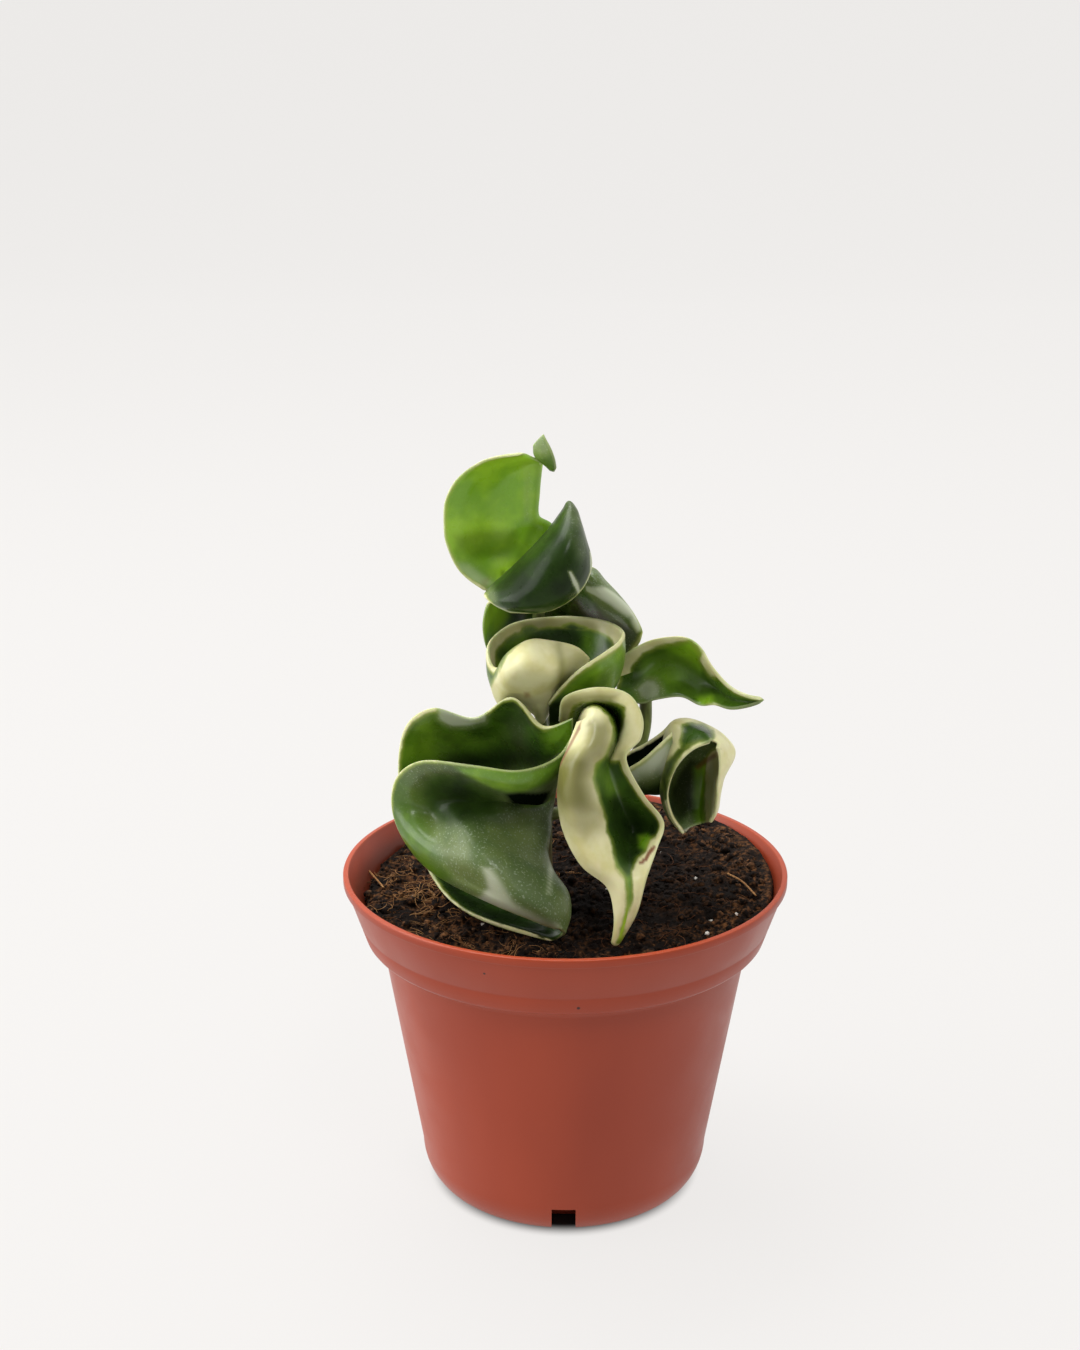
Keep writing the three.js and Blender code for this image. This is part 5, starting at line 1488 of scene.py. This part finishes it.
HOOD_PATCHES = [
    patch([(23, -17), (24.4, -10.2), (27, -7.4), (32, -7.4), (41, -12.6), (40.4, -21), (36.4, -25),
        (36.8, -17), (34.4, -12.6), (30, -15.4), (27.2, -18.2), (25.6, -23)], side=1, cream=1.0),
    patch([(28.4, -10.4), (30.4, -10), (32.6, -10.4), (34.4, -11.6), (34.8, -12.8), (34.2, -14),
        (32, -13.8), (30, -14.8), (28.4, -16.2), (28.2, -13.4)],
        side=1, soft=0.8, cream=-2.0, glow=0.0, bloom=0.0, shade=0.25),
    patch([(23, -17), (24.4, -10.2), (27, -7.4), (28.4, -9.4), (28.8, -13), (27.2, -17),
        (25.6, -23), (23, -23)], side=1, soft=1.5, bloom=1.5, dull=0.4),
    patch([(30.8, -14.4), (29, -15.8), (27.4, -18), (26.2, -21), (25.8, -25), (24.8, -25),
        (24.8, -20.6), (26, -17.4), (28, -15)],
        side=1, soft=0.6, cream=-1.0, bloom=0.2, shade=0.55),
    patch([(25, -27.4), (25.6, -23), (27.2, -19.4), (29.6, -16.4), (32.4, -17), (32.8, -29.4),
        (29.6, -31.4), (27.2, -29.8)], side=-1, soft=0.8, shade=0.75),
    patch([(30.6, -18.2), (34, -16.2), (34.4, -25), (34, -30.2), (31.2, -30.6), (30.4, -24)],
        side=-1, soft=1.0, glow=0.7, bloom=0.2, shade=0.0),
    patch([(32.6, -17.8), (33.8, -17), (34, -25), (33.8, -29.4), (32.8, -29.4)],
        side=-1, soft=0.5, glow=1.0, shade=0.0),
    patch([(33.8, -16.2), (34.4, -15.4), (36.8, -14.2), (37.6, -19), (37, -25), (36.4, -30.2),
        (33.4, -30.6), (33.8, -25)], across=(0.5, 1.0), cream=1.0, shade=0.0),
    patch([(30.8, -18), (33.2, -16.2), (35.8, -15.4), (36, -16.4), (33.2, -17.6), (31.4, -18.6)],
        side=-1, soft=0.4, rust=0.6),
    patch([(27.2, -31), (29.6, -27.4), (32, -29), (30, -32.2)], soft=1.0, bloom=1.2, shade=0.0),
]
hood_right_form = blade(RIGHT_HOOD, rows=80, columns=84)
arm_form = blade(RIGHT_ARM, rows=50, columns=60)
hood_right_margins = {
    "left": [(0, 1.0), (0.5, 1.25), (1, 1.0)],
    "right": [(0, 0.6), (0.3, 1.5), (0.8, 1.5), (1, 1.0)],
    "start": [(0, 0.6), (1, 0.6)],
}
ARM_PATCHES = [
    patch([(12, -25), (12, -13), (22, -9), (30, -8), (30, -23)], side=-1, soft=0.5, shade=1.0),
    patch([(15.6, -20.6), (20, -16.4), (25, -12.4), (28.4, -9.4), (30.4, -12), (28.8, -16),
        (26, -19.4), (23.2, -21.2), (20, -21.6), (17.6, -21.4)], side=1, soft=1.5, bloom=2.0),
    patch([(18, -22.2), (20, -19.4), (23.2, -18.6), (25.6, -19.8), (24, -22.2), (20, -23)],
        side=1, soft=2.5, bloom=1.1),
    patch([(18.8, -22.2), (22, -21.4), (26, -19.8), (26.4, -24.6), (21.2, -24.6)],
        side=1, soft=1.2, cream=-1.0, bloom=0.3, shade=0.55),
    patch([(24.8, -12), (28.4, -9.4), (30, -13), (28.4, -17), (26.4, -17), (25.6, -14.6)],
        side=1, soft=1.5, glow=0.15, bloom=1.3),
]
arm_margins = {"left": [(0, 0.6), (1, 0.6)], "right": [(0, 0.5), (1, 0.5)]}
hood_paint = both_sides(hood_right_form, HOOD_PATCHES, hood_right_margins, {"bloom": 0.8})
arm_paint = both_sides(arm_form, ARM_PATCHES, arm_margins, {"bloom": 1.0})
hood_blades = ((hood_right_form, hood_paint), (arm_form, arm_paint))
grow_leaf("leaf_right_hood", "leaf_variegated", *hood_blades)

# %% [markdown]
# ### The back leaf
# The back leaf shows its dark front under the hood, darkened further by painted shade, a dusty
# right flank with a painted highlight along its ridge, and a sliver at the left that is painted
# bright where light comes through.

# %% Back leaf
BACK_LEAF = [
    [(-10.4, 14.4, 7), (-11, 12.6, 6), (-11.4, 9.8, 6), (-11, 6.6, 7), (-10, 3.6, 9)],
    [(-7.2, 17, 13), (-7.8, 14, 14), (-7.8, 10.6, 15), (-7.4, 7, 16), (-6.6, 3.4, 16)],
    [(-1, 19, 18), (-1.6, 15.4, 19), (-1.6, 11.4, 20.5), (-1, 7.4, 21), (-0.4, 3.4, 19)],
    [(6, 21, 15), (5.2, 18, 13), (4.4, 15, 14.5), (4, 10, 19), (4, 5, 18)],
    [(10.4, 21.6, 8), (9.8, 19.4, 4), (8, 17, 8.5), (6.4, 12.6, 15), (5.2, 7, 17)],
    [(13, 19, 8), (12.4, 16.6, 3), (10.8, 14.6, 8), (10, 11, 14), (8.4, 6, 16)],
    [(15.8, 16, 7), (15.2, 14.2, 3.2), (14.2, 12.4, 7.6), (13.2, 9, 12.5), (11.6, 5, 14.4)],
    [(18.4, 12.6, 6), (18, 11.4, 4), (17.4, 9.6, 7), (16, 6.8, 10.3), (14.8, 4.6, 12.4)],
    [(20.6, 8.6, 5), (20.4, 7.8, 5), (20, 6.6, 6), (19, 5, 8), (18, 3.6, 9)],
]
BACK_PATCHES = [
    patch([(-13.2, 3), (-12.8, 15), (-10.4, 15.8), (-7.4, 14.2), (-7, 11.8), (-9.2, 8.6),
        (-11.2, 5.4), (-12, 2.6)], side=1, soft=1.2, glow=0.95, bloom=0.6),
    patch([(10, 21.8), (12, 22.6), (22, 10), (22, 3), (16.4, 6), (13.2, 12.6), (10, 17.4)],
        soft=1.2, bloom=1.05, shade=0.12),
    # Painted highlight along the ridge.
    patch([(9.6, 18.4), (11.6, 17.8), (14.4, 16), (18.4, 13), (20.2, 9.4), (19.6, 8.6), (18, 11.6),
        (14.2, 14.6), (11.4, 16.4), (9.6, 17.2)], soft=0.35, cream=0.0, bloom=1.9, shade=0.0),
    patch([(1.6, 15), (9.2, 16.6), (11.2, 14.2), (13.2, 11.4), (4, 11.4)],
        soft=1.5, glow=0.1, bloom=0.0, shade=0.35),
    patch([(14.4, 10.6), (16, 8.2), (16.8, 4.6), (15.2, 2.6), (14, 7)], soft=1.0, shade=0.5),
]
back_form = blade(BACK_LEAF, rows=90, columns=60)
back_margins = {"left": [(0, 0.3), (1, 0.3)], "end": [(0, 0.5), (1, 0.5)]}
back_paint = both_sides(back_form, BACK_PATCHES, back_margins, {"bloom": 0.15})
grow_leaf("leaf_back", "leaf_dark", (back_form, back_paint))

# %% [markdown]
# ### The top hood leaf
# The top hood is the darkest leaf, its deep green darkened further by painted shade all over.
# Its peak and its left flank are dusty grey with painted sheen, and a painted highlight runs
# down its right side and hooks in at the bottom.

# %% Top hood leaf
TOP_HOOD = [
    [(5.6, 34.4, 0), (5.7, 34.8, -0.5), (5.9, 34.8, -0.5), (6.2, 34.5, 0), (6.6, 34, 0.5)],
    [(4.2, 31.8, 3), (4.8, 32.2, -2), (6, 32.4, -4), (7, 32.2, -3), (7.6, 31.6, 0)],
    [(1.1, 28, 4), (2.4, 28.2, -4), (4.6, 28.2, -8), (7.2, 28.2, -8), (9, 27.6, -3)],
    [(-3, 23.8, 4), (-1.4, 23.4, -6), (2, 23, -11), (6.4, 23, -11), (10.4, 21.8, -5)],
    [(-7, 20.2, 3), (-5, 19, -6), (-1, 17.4, -12), (4, 17, -12), (7.8, 16.4, -8)],
    [(-9.8, 17.6, 1), (-8.6, 16.6, -5), (-5.8, 15.2, -10), (-2, 14, -12), (1.8, 12.8, -10)],
    [(-11.2, 15.8, -2), (-10.8, 15.2, -4), (-9.8, 14.4, -6), (-8.4, 13.6, -7), (-6.2, 12.6, -7)],
]
TOP_HOOD_PATCHES = [
    # Dust and painted sheen on the peak, in painted shade.
    patch([(3.6, 32.6), (5.2, 36.6), (6.8, 36.2), (8.8, 31), (9.2, 27.8), (6.8, 29), (5.2, 30.6)],
        soft=2.0, bloom=1.0, shade=0.38),
    # Painted sheen down the left flank, in painted shade.
    patch([(4.6, 34), (6.4, 33), (5.2, 29.4), (1, 24.6), (-4, 19), (-8, 15.4), (-11.2, 14.2),
        (-12.4, 16.2), (-8, 20.6), (0, 28.6)], soft=1.6, bloom=0.3, shade=0.55),
    patch([(-5.2, 20.2), (4, 28), (8.8, 27), (9.2, 19), (4, 13.8), (-5.6, 13.4)],
        soft=3.0, bloom=0.1, shade=0.76),
    patch([(6, 27.8), (8.8, 28.2), (9.2, 23), (7.2, 23.8)], soft=2.0, bloom=0.7, shade=0.4),
    # Painted sheen at the lower left corner.
    patch([(-12, 17.4), (-9.2, 17.4), (-8, 14.6), (-10, 13.4), (-12, 14.6)],
        soft=1.0, bloom=0.85, shade=0.15),
    # Painted highlight down the right side, hooking in at the bottom.
    patch([(9.4, 24.6), (10.8, 24.6), (10.8, 20.6), (9.8, 18.6), (8.2, 16.6), (7.2, 16.4),
        (8.6, 18.2), (9.6, 20.6)], soft=0.3, bloom=2.4, shade=0.0),
    patch([(5.2, 21), (5.8, 21), (7, 18.8), (8, 16.6), (7.2, 16.4), (6, 18.4)],
        soft=0.3, bloom=2.0, shade=0.1),
    patch([(-10.8, 15.2), (-9.2, 14.4), (-5.4, 13.2), (-2, 12.8), (-2, 11.8), (-5.6, 11.8),
        (-9.6, 12.8), (-11.2, 14.2)], soft=0.3, bloom=2.2, shade=0.0),
]
top_hood_form = blade(TOP_HOOD, rows=80, columns=72)
top_hood_margins = {
    "end": [(0, 0.4), (1, 0.5)],
    "right": [(0, 0), (0.35, 0.1), (0.5, 0.5), (1, 0.5)],
}
# Painted shade over the whole leaf.
top_hood_base = {"bloom": 0.1, "shade": 0.5}
top_hood_paint = both_sides(top_hood_form, TOP_HOOD_PATCHES, top_hood_margins, top_hood_base)
grow_leaf("leaf_top_hood", "leaf_dark", (top_hood_form, top_hood_paint))

# %% [markdown]
# ### The top disc leaf
# The top leaf is a round disc that light shines through, and that light is painted into it as a
# yellow-green glow, with a painted shadow low on it and a paler strip along its folded right
# edge. Its tip curls into a small flap.

# %% Top disc leaf
TOP_DISC = [
    [(-11, 17, 5), (-9.8, 16.8, 6), (-8.6, 17, 7), (-7.4, 17.4, 8), (-6.4, 18, 9),
     (-5.6, 17.4, 12)],
    [(-16, 20.6, 5), (-12, 19.8, 7), (-7.8, 20.8, 9), (-3, 23, 9), (0.4, 25.4, 9), (-2, 23, 15)],
    [(-18.7, 25.9, 5), (-14, 25.8, 7), (-8.8, 25.8, 8.5), (-3, 27.6, 9), (2.2, 29.4, 9),
     (-2, 27, 15.5)],
    [(-19.3, 30.4, 5), (-14, 29.8, 7), (-8.8, 29.6, 8.5), (-3.6, 30.4, 8.5), (-0.8, 31.6, 8.5),
     (-3, 30.4, 15.5)],
    [(-18.9, 35.2, 5), (-14, 34.6, 7), (-8.8, 34.2, 8.5), (-3.8, 35, 8.5), (-0.7, 36.6, 8.5),
     (-3, 35, 15.5)],
    [(-16.3, 39.6, 5), (-12.4, 38.6, 7), (-8.2, 38, 8.5), (-4, 38.8, 8.5), (-0.4, 40.2, 8.5),
     (-2.4, 39.2, 14)],
    [(-10.9, 43.1, 5), (-8.4, 42.2, 7), (-5.8, 41.8, 8), (-2.6, 42, 8.5), (0, 42.2, 8.5),
     (-0.8, 41.8, 11.5)],
    [(-3.4, 44.4, 6.5), (-2.6, 44.2, 6.8), (-1.8, 43.8, 7), (-1, 43.4, 7.2), (-0.2, 43, 7.4),
     (0.4, 42.2, 7.6)],
]
DISC_TIP = [
    [(2.4, 40.8, 6), (2.8, 40.6, 5), (3.2, 41.2, 4)],
    [(1.2, 41.8, 7), (2.2, 42.4, 4.5), (2.9, 43.2, 3)],
    [(-0.2, 42.8, 7.5), (1, 44.2, 4.5), (2.2, 45.3, 2.5)],
    [(-1.2, 44, 7.5), (0, 45.8, 4.5), (1.3, 47, 2.5)],
    [(-1.4, 46, 6), (-0.4, 47.2, 4.5), (0.7, 48.2, 3)],
]
DISC_PATCHES = [
    # Painted shadow low on the disc.
    patch([(-17.2, 27.8), (-12, 29.2), (-5, 29), (-3.8, 26), (-6.4, 23.8), (-13.2, 23.4),
        (-16.8, 25)], soft=1.4, shade=0.42),
    patch([(-3.8, 42.6), (1, 44), (1, 31), (-3.6, 30.2)], soft=0.8, glow=0.8, bloom=1.3),
    patch([(-2.8, 41), (-1.8, 41), (-1.8, 31), (-2.8, 31)], soft=0.6, glow=0.6, bloom=1.1),
    patch([(-1.2, 31), (3.2, 30.6), (-2.4, 23), (-6, 21.8)], soft=0.8, glow=0.8, shade=0.2),
    patch([(-20, 24.2), (-14, 23), (-8, 18.2), (-12, 15), (-20, 19)],
        soft=2.4, glow=0.5, bloom=1.9),
    patch([(-12, 18.6), (-10.4, 19.4), (-10.8, 17.4), (-12, 17)], soft=0.8, rust=0.25),
    patch([(-8, 21), (-7, 21), (-7, 19.8), (-8, 19.8)], soft=0.4, shade=0.5),
]
TIP_PATCHES = [
    patch([(-2.4, 47), (0, 49.4), (2.4, 47), (3.2, 43.8), (1, 43.4), (-1.6, 44.6)],
        soft=1.5, glow=0.15, bloom=1.3),
    patch([(-0.4, 43), (2.6, 44.6), (4.4, 41.8), (3.2, 39.8), (1, 41)],
        soft=1.2, glow=0.15, bloom=0.2, shade=0.2),
]
disc_form = blade(TOP_DISC, rows=84, columns=64)
tip_form = blade(DISC_TIP, rows=36, columns=28)
disc_margins = {"left": [(0, 0.1), (1, 0.1)]}
disc_back = {"glow": 0.35, "bloom": 0.35}
# Painted glow of light through the disc, weaker on its hidden side.
disc_paint = both_sides(disc_form, DISC_PATCHES, disc_margins, {"glow": 1.0}, disc_back)
tip_paint = both_sides(tip_form, TIP_PATCHES, {}, {"glow": 0.3, "bloom": 0.6})
grow_leaf("leaf_top_disc", "leaf_bright", (disc_form, disc_paint), (tip_form, tip_paint))

# %% [markdown]
# ## The stem
# The stem, its side branch and the leaf stalks are grown as one. Each is a tube along a smooth
# path, a stalk a little thicker where it leaves the stem. It ends just inside the blade that it
# carries. On the real plant the stem hides behind the leaves, so its route is a guess.

# %% Stem paths
STEM_RADIUS = 1.9
STEM_TIP_SHARE = 0.62
BRANCH_RADIUS = 1.3
STALK_RADIUS = 1.1
STALK_SWELL = 0.25
STALK_REACH = 0.55
STALK_FREE_STEPS = 3
STEM_SIDES = 14
ANY_SIDE = (0.31, 0.87, 0.19)
STEM_VOXEL = 0.24
STEM_STEPS = 120
BRANCH_STEPS = 60
STALK_STEPS = 30
EASE_ROUNDS = 4
EASE_FACTOR = 0.5
KNOT_SEED = 21
KNOT_WAVES = ((9, 0.05, 3),)
KNOT_SPACING = 0.8
STEM_PATH = [
    (-4, 1, 47), (-4, 1, 62), (-4.5, 1.5, 80), (-4.5, 3, 94),
    (-5, 7, 103), (-5.5, 12, 111), (-5.5, 13.5, 118), (-4.5, 11, 125), (-6, 9.5, 131),
]
BRANCH_PATH = [(-4.5, 1.5, 78), (4, 3, 80), (12, 3.5, 86), (15.7, 4, 95), (16, 3.5, 104.5)]
STALKS = (
    ([(-4.5, 1.5, 86), (-3.5, -3, 87.5), (-2.5, -8, 89)], left_form),
    ([(-4.5, 2, 90), (3, -2, 94), (9.8, -7.4, 98.4)], front_form),
    ([(-4.5, 3, 93), (-4.6, 0.5, 98), (-5, -0.3, 102.5)], cup_form),
    ([(-5.5, 12, 111), (-4, 15, 113), (-2, 20, 115)], back_form),
    ([(-4.5, 11, 125), (-7, 4, 128), (-8, -6.5, 130.5)], top_hood_form),
    ([(12, 3.5, 86), (13.5, 2, 87.5), (15, -0.2, 89)], arm_form),
)


def smooth_path(points, count):
    return spline_weights(len(points), np.linspace(0, 1, count)) @ np.array(points, float)


def up_to_leaf(path, form):
    """The path as far as the blade's middle surface, less STALK_REACH."""
    surface = form["sheet"].reshape(-1, 3)
    for k, point in enumerate(path):
        near = np.linalg.norm(surface - point, axis=1).min() < STALK_REACH
        if k > STALK_FREE_STEPS and near:
            return path[:k + 1]
    return path


def tube_mesh(build, path, radii, sides):
    tangents = np.gradient(path, axis=0)
    tangents /= np.linalg.norm(tangents, axis=1, keepdims=True)
    side = np.cross(tangents[0], ANY_SIDE)
    rings = []
    for point, tangent, radius in zip(path, tangents, radii):
        side = side - tangent * (side @ tangent)
        side /= np.linalg.norm(side)
        other = np.cross(tangent, side)
        ring = []
        for k in range(sides):
            angle = 2 * math.pi * k / sides
            place = point + radius * (math.cos(angle) * side + math.sin(angle) * other)
            ring.append(build.verts.new(place * MM))
        rings.append(ring)
    for low, high in zip(rings, rings[1:]):
        for k in range(sides):
            n = (k + 1) % sides
            build.faces.new((low[k], low[n], high[n], high[k]))
    build.faces.new(rings[0][::-1])
    build.faces.new(rings[-1])


print(len(STALKS), "stalks, and one stem with a side branch")

# %% [markdown]
# Tubes that only run into each other would show a hard seam at every joint. So a voxel remesh
# melts them into one skin, and a short smoothing eases its steps. Young wood is never quite
# straight or round, so slow waves make the stem a little thicker and thinner.

# %% Stem
stem_build = bmesh.new()
stem_line = up_to_leaf(smooth_path(STEM_PATH, STEM_STEPS), disc_form)
steps = len(stem_line)
knots = layered_waves(np.arange(steps) * KNOT_SPACING, np.zeros(steps), KNOT_SEED, KNOT_WAVES)
stem_radii = STEM_RADIUS * np.linspace(1.0, STEM_TIP_SHARE, steps) * (1 + knots)
tube_mesh(stem_build, stem_line, stem_radii, STEM_SIDES)
branch_line = up_to_leaf(smooth_path(BRANCH_PATH, BRANCH_STEPS), bill_form)
tube_mesh(stem_build, branch_line, np.full(len(branch_line), BRANCH_RADIUS), STEM_SIDES)
for path, form in STALKS:
    line = up_to_leaf(smooth_path(path, STALK_STEPS), form)
    swell = 1 + STALK_SWELL * np.linspace(1, 0, len(line)) ** 3
    tube_mesh(stem_build, line, STALK_RADIUS * swell, STEM_SIDES)
stem = built_object("stem_and_stalks", stem_build)
melt = stem.modifiers.new("melt", "REMESH")
melt.mode = "VOXEL"
melt.voxel_size = STEM_VOXEL * MM
ease = stem.modifiers.new("ease", "SMOOTH")
ease.iterations = EASE_ROUNDS
ease.factor = EASE_FACTOR
apply_modifiers(stem)
for line in (stem_line, branch_line):
    print("stem or branch", round(float(arc_from_start(line, 0)[-1])), "mm long")

# %% [markdown]
# A young hoya stem is green, and older parts turn olive and corky.

# %% Stem finish
STEM_OLIVE = hex_linear("#5B5F34")
STEM_GREEN = hex_linear("#7C8A4A")
STEM_CORK = hex_linear("#6E5B3C")
STREAK_SIZE = 2.2
STREAK_STRETCH = (1, 1, 0.3)
STREAK_EDGES = (0.35, 0.65)
CORK_FROM = 80
CORK_TO = 62
STEM_ROUGHNESS = 0.5
SKIN_SIZE = 0.8
SKIN_DEPTH = 0.08


def green_stem():
    material, tree, shader = new_material("young_hoya_stem")
    streaks = noise_at(tree, STREAK_SIZE, 3.0, STREAK_STRETCH)
    streaks = remap(tree, streaks, *STREAK_EDGES)
    colour = mix_colour(tree, streaks, STEM_OLIVE, STEM_GREEN)
    height = height_in(tree, object_place(tree))
    old = remap(tree, height, CORK_FROM * MM, CORK_TO * MM)
    tree.links.new(mix_colour(tree, old, colour, STEM_CORK), shader.inputs["Base Color"])
    shader.inputs["Roughness"].default_value = STEM_ROUGHNESS
    shader.inputs["IOR"].default_value = LEAF_IOR
    skin = bump_from(tree, noise_at(tree, SKIN_SIZE), SKIN_DEPTH, 0.6)
    tree.links.new(skin, shader.inputs["Normal"])
    return material


stem.data.materials.append(green_stem())
settle(stem, "stem", "stem")

# %% [markdown]
# ## Straws on the soil
# Two pale straws stand out in the photograph, one at each side. They are placed at listed points.
# Curls of tan coir crowd at the left, so they are drawn at random round one place, from a fixed
# seed. All of them rest on the lumps.

# %% Straws and curls
STRAW_RADIUS = 0.2
STRAW_SIDES = 7
STRAW_STEPS = 24
STRAW_LIFT = 0.9
STRAWS = (
    [(-42.0, 11.0), (-40.6, 8.5), (-38.8, 5.0), (-37.2, 1.4)],
    [(33.2, 1.2), (35.8, -3.8), (38.0, -9.7)],
)
CURLS = 40
CURL_SEED = 31
CURL_MIDDLE = (-29.5, -0.5)
CURL_SPREAD = (4.6, 4.2)
CURL_REACH = (0.7, 2.0)
CURL_TURN = (2.0, 4.5)
CURL_LIFT = (0.5, 0.7)
CURL_RADIUS = 0.08
CURL_SIDES = 4
CURL_STEPS = 20
CURL_MARKS = 7
CURL_START = 6.28


def on_soil(x, y, above):
    lean = (SOIL_RISE_RIGHT * x + SOIL_RISE_BACK * y) / inner_radius_at(SOIL_HEIGHT)
    lump = float(lumps_at(np.array([x]), np.array([y]))[0])
    return np.array([x, y, SOIL_HEIGHT + lump + lean + above])


def settle_coir(build, name):
    piece = built_object(name, build)
    shade_smooth(piece)
    piece.data.materials.append(coir_tan)
    settle(piece, "soil")


straw_build = bmesh.new()
for marks in STRAWS:
    line = smooth_path([on_soil(x, y, STRAW_LIFT) for x, y in marks], STRAW_STEPS)
    tube_mesh(straw_build, line, np.full(len(line), STRAW_RADIUS), STRAW_SIDES)
settle_coir(straw_build, "pale_straws")
curl_build = bmesh.new()
draw = np.random.default_rng(CURL_SEED)
for _ in range(CURLS):
    x, y = (CURL_MIDDLE[k] + draw.normal(0, CURL_SPREAD[k]) for k in (0, 1))
    reach = draw.uniform(*CURL_REACH)
    turn = draw.choice([-1, 1]) * draw.uniform(*CURL_TURN)
    start = draw.uniform(0, CURL_START)
    marks = []
    for step in np.linspace(0, 1, CURL_MARKS):
        angle = start + turn * step
        lift = CURL_LIFT[0] + CURL_LIFT[1] * math.sin(math.pi * step)
        marks.append(on_soil(x + reach * math.cos(angle), y + reach * math.sin(angle), lift))
    line = smooth_path(marks, CURL_STEPS)
    tube_mesh(curl_build, line, np.full(len(line), CURL_RADIUS), CURL_SIDES)
settle_coir(curl_build, "coir_curls_tan")

# %% [markdown]
# ## Stage and light
# The plant stands on a plain pale sweep, a floor that curves up behind. The paper is lit from
# its own lamps, so it glows evenly, but not under the pot, where a painted shadow is left. A
# material that gives its own light keeps the ground pale in every view.

# %% Stage
SWEEP_WIDTH = 6.0
SWEEP_FRONT = -2.5
SWEEP_BACK = 1.6
SWEEP_RADIUS = 0.9
SWEEP_TOP = 2.6
SWEEP_STEPS = 24
FLOOR_DROP = 0.0002
PAPER_GREY = hex_linear("#4A4948")
PAPER_LIGHT = hex_linear("#FAF8F6")
PAPER_GLOW = 0.83
PAPER_ROUGHNESS = 0.9
PAPER_SHINE = 0.1
DARK_UNDER_POT = 0.024
GLOW_FROM = 0.029


def pale_sweep():
    profile = [(SWEEP_FRONT, 0.0), (SWEEP_BACK, 0.0)]
    for turn in np.linspace(0, math.pi / 2, SWEEP_STEPS)[1:]:
        back = SWEEP_BACK + SWEEP_RADIUS * math.sin(turn)
        profile.append((back, SWEEP_RADIUS * (1 - math.cos(turn))))
    profile.append((SWEEP_BACK + SWEEP_RADIUS, SWEEP_TOP))
    sides = (-SWEEP_WIDTH / 2, SWEEP_WIDTH / 2)
    vertices = [(x, y, z - FLOOR_DROP) for y, z in profile for x in sides]
    faces = [(2 * k, 2 * k + 1, 2 * k + 3, 2 * k + 2) for k in range(len(profile) - 1)]
    return mesh_object("pale_sweep", vertices, faces)


def pale_paper():
    material, tree, shader = new_material("pale_paper")
    away = vector_maths(tree, "LENGTH", object_place(tree))
    # Painted shadow: the glow fades out under the pot.
    glow = remap(tree, away, DARK_UNDER_POT, GLOW_FROM, 0.0, PAPER_GLOW)
    tree.links.new(glow, shader.inputs["Emission Strength"])
    shader.inputs["Base Color"].default_value = PAPER_GREY
    shader.inputs["Emission Color"].default_value = PAPER_LIGHT
    shader.inputs["Roughness"].default_value = PAPER_ROUGHNESS
    shader.inputs["Specular IOR Level"].default_value = PAPER_SHINE
    return material


sweep = pale_sweep()
sweep.data.materials.append(pale_paper())
print("sweep", len(sweep.data.polygons), "faces")

# %% [markdown]
# The world is bright behind, above and at the sides and dimmer in front, as in a white studio
# with the camera's end kept dark. So the pot is deep red in the middle and pale at its sides. A
# soft panel above and behind gives the shine on the leaves, one at the left lights the pot's
# side, and a smaller one in front and above gives the glints.

# %% Lights
PANELS = (
    ("panel_above", (-0.3, 0.35, 1.0), (0.9, 0.6), 9.0),
    ("panel_left", (-0.8, -0.1, 0.3), (0.6, 0.9), 6.0),
    ("key_panel", (0.2, -0.6, 0.95), (0.3, 0.3), 3.0),
)
AIM = (0, 0, 0.08)
WORLD_WHITE = (1.0, 0.99, 0.98, 1.0)
WORLD_FRONT = 0.35
WORLD_BACK = 1.0
WORLD_TURN = (-0.75, 0.1)


def soft_panel(name, place, size, power):
    data = bpy.data.lights.new(name, "AREA")
    data.shape = "RECTANGLE"
    data.size, data.size_y = size
    data.energy = power
    lamp = linked_object(name, data)
    lamp.location = place
    lamp.rotation_euler = (Vector(AIM) - lamp.location).to_track_quat("-Z", "Y").to_euler()


for panel in PANELS:
    soft_panel(*panel)
world = bpy.data.worlds.new("white_studio")
bpy.context.scene.world = world
world.use_nodes = True
world_tree = world.node_tree
background = world_tree.nodes["Background"]
background.inputs["Color"].default_value = WORLD_WHITE
direction = add_node(world_tree, "ShaderNodeTexCoord").outputs["Generated"]
depth = add_node(world_tree, "ShaderNodeSeparateXYZ", {"Vector": direction}).outputs["Y"]
brightness = remap(world_tree, depth, *WORLD_TURN, WORLD_FRONT, WORLD_BACK)
world_tree.links.new(brightness, background.inputs["Strength"])
bpy.context.scene.view_settings.view_transform = "Standard"
bpy.context.scene.view_settings.look = "None"
print(len(PANELS), "panels,", sum(power for *_, power in PANELS), "W")

# %% [markdown]
# Last, the view layer is updated.

# %% Update the view layer
bpy.context.view_layer.update()
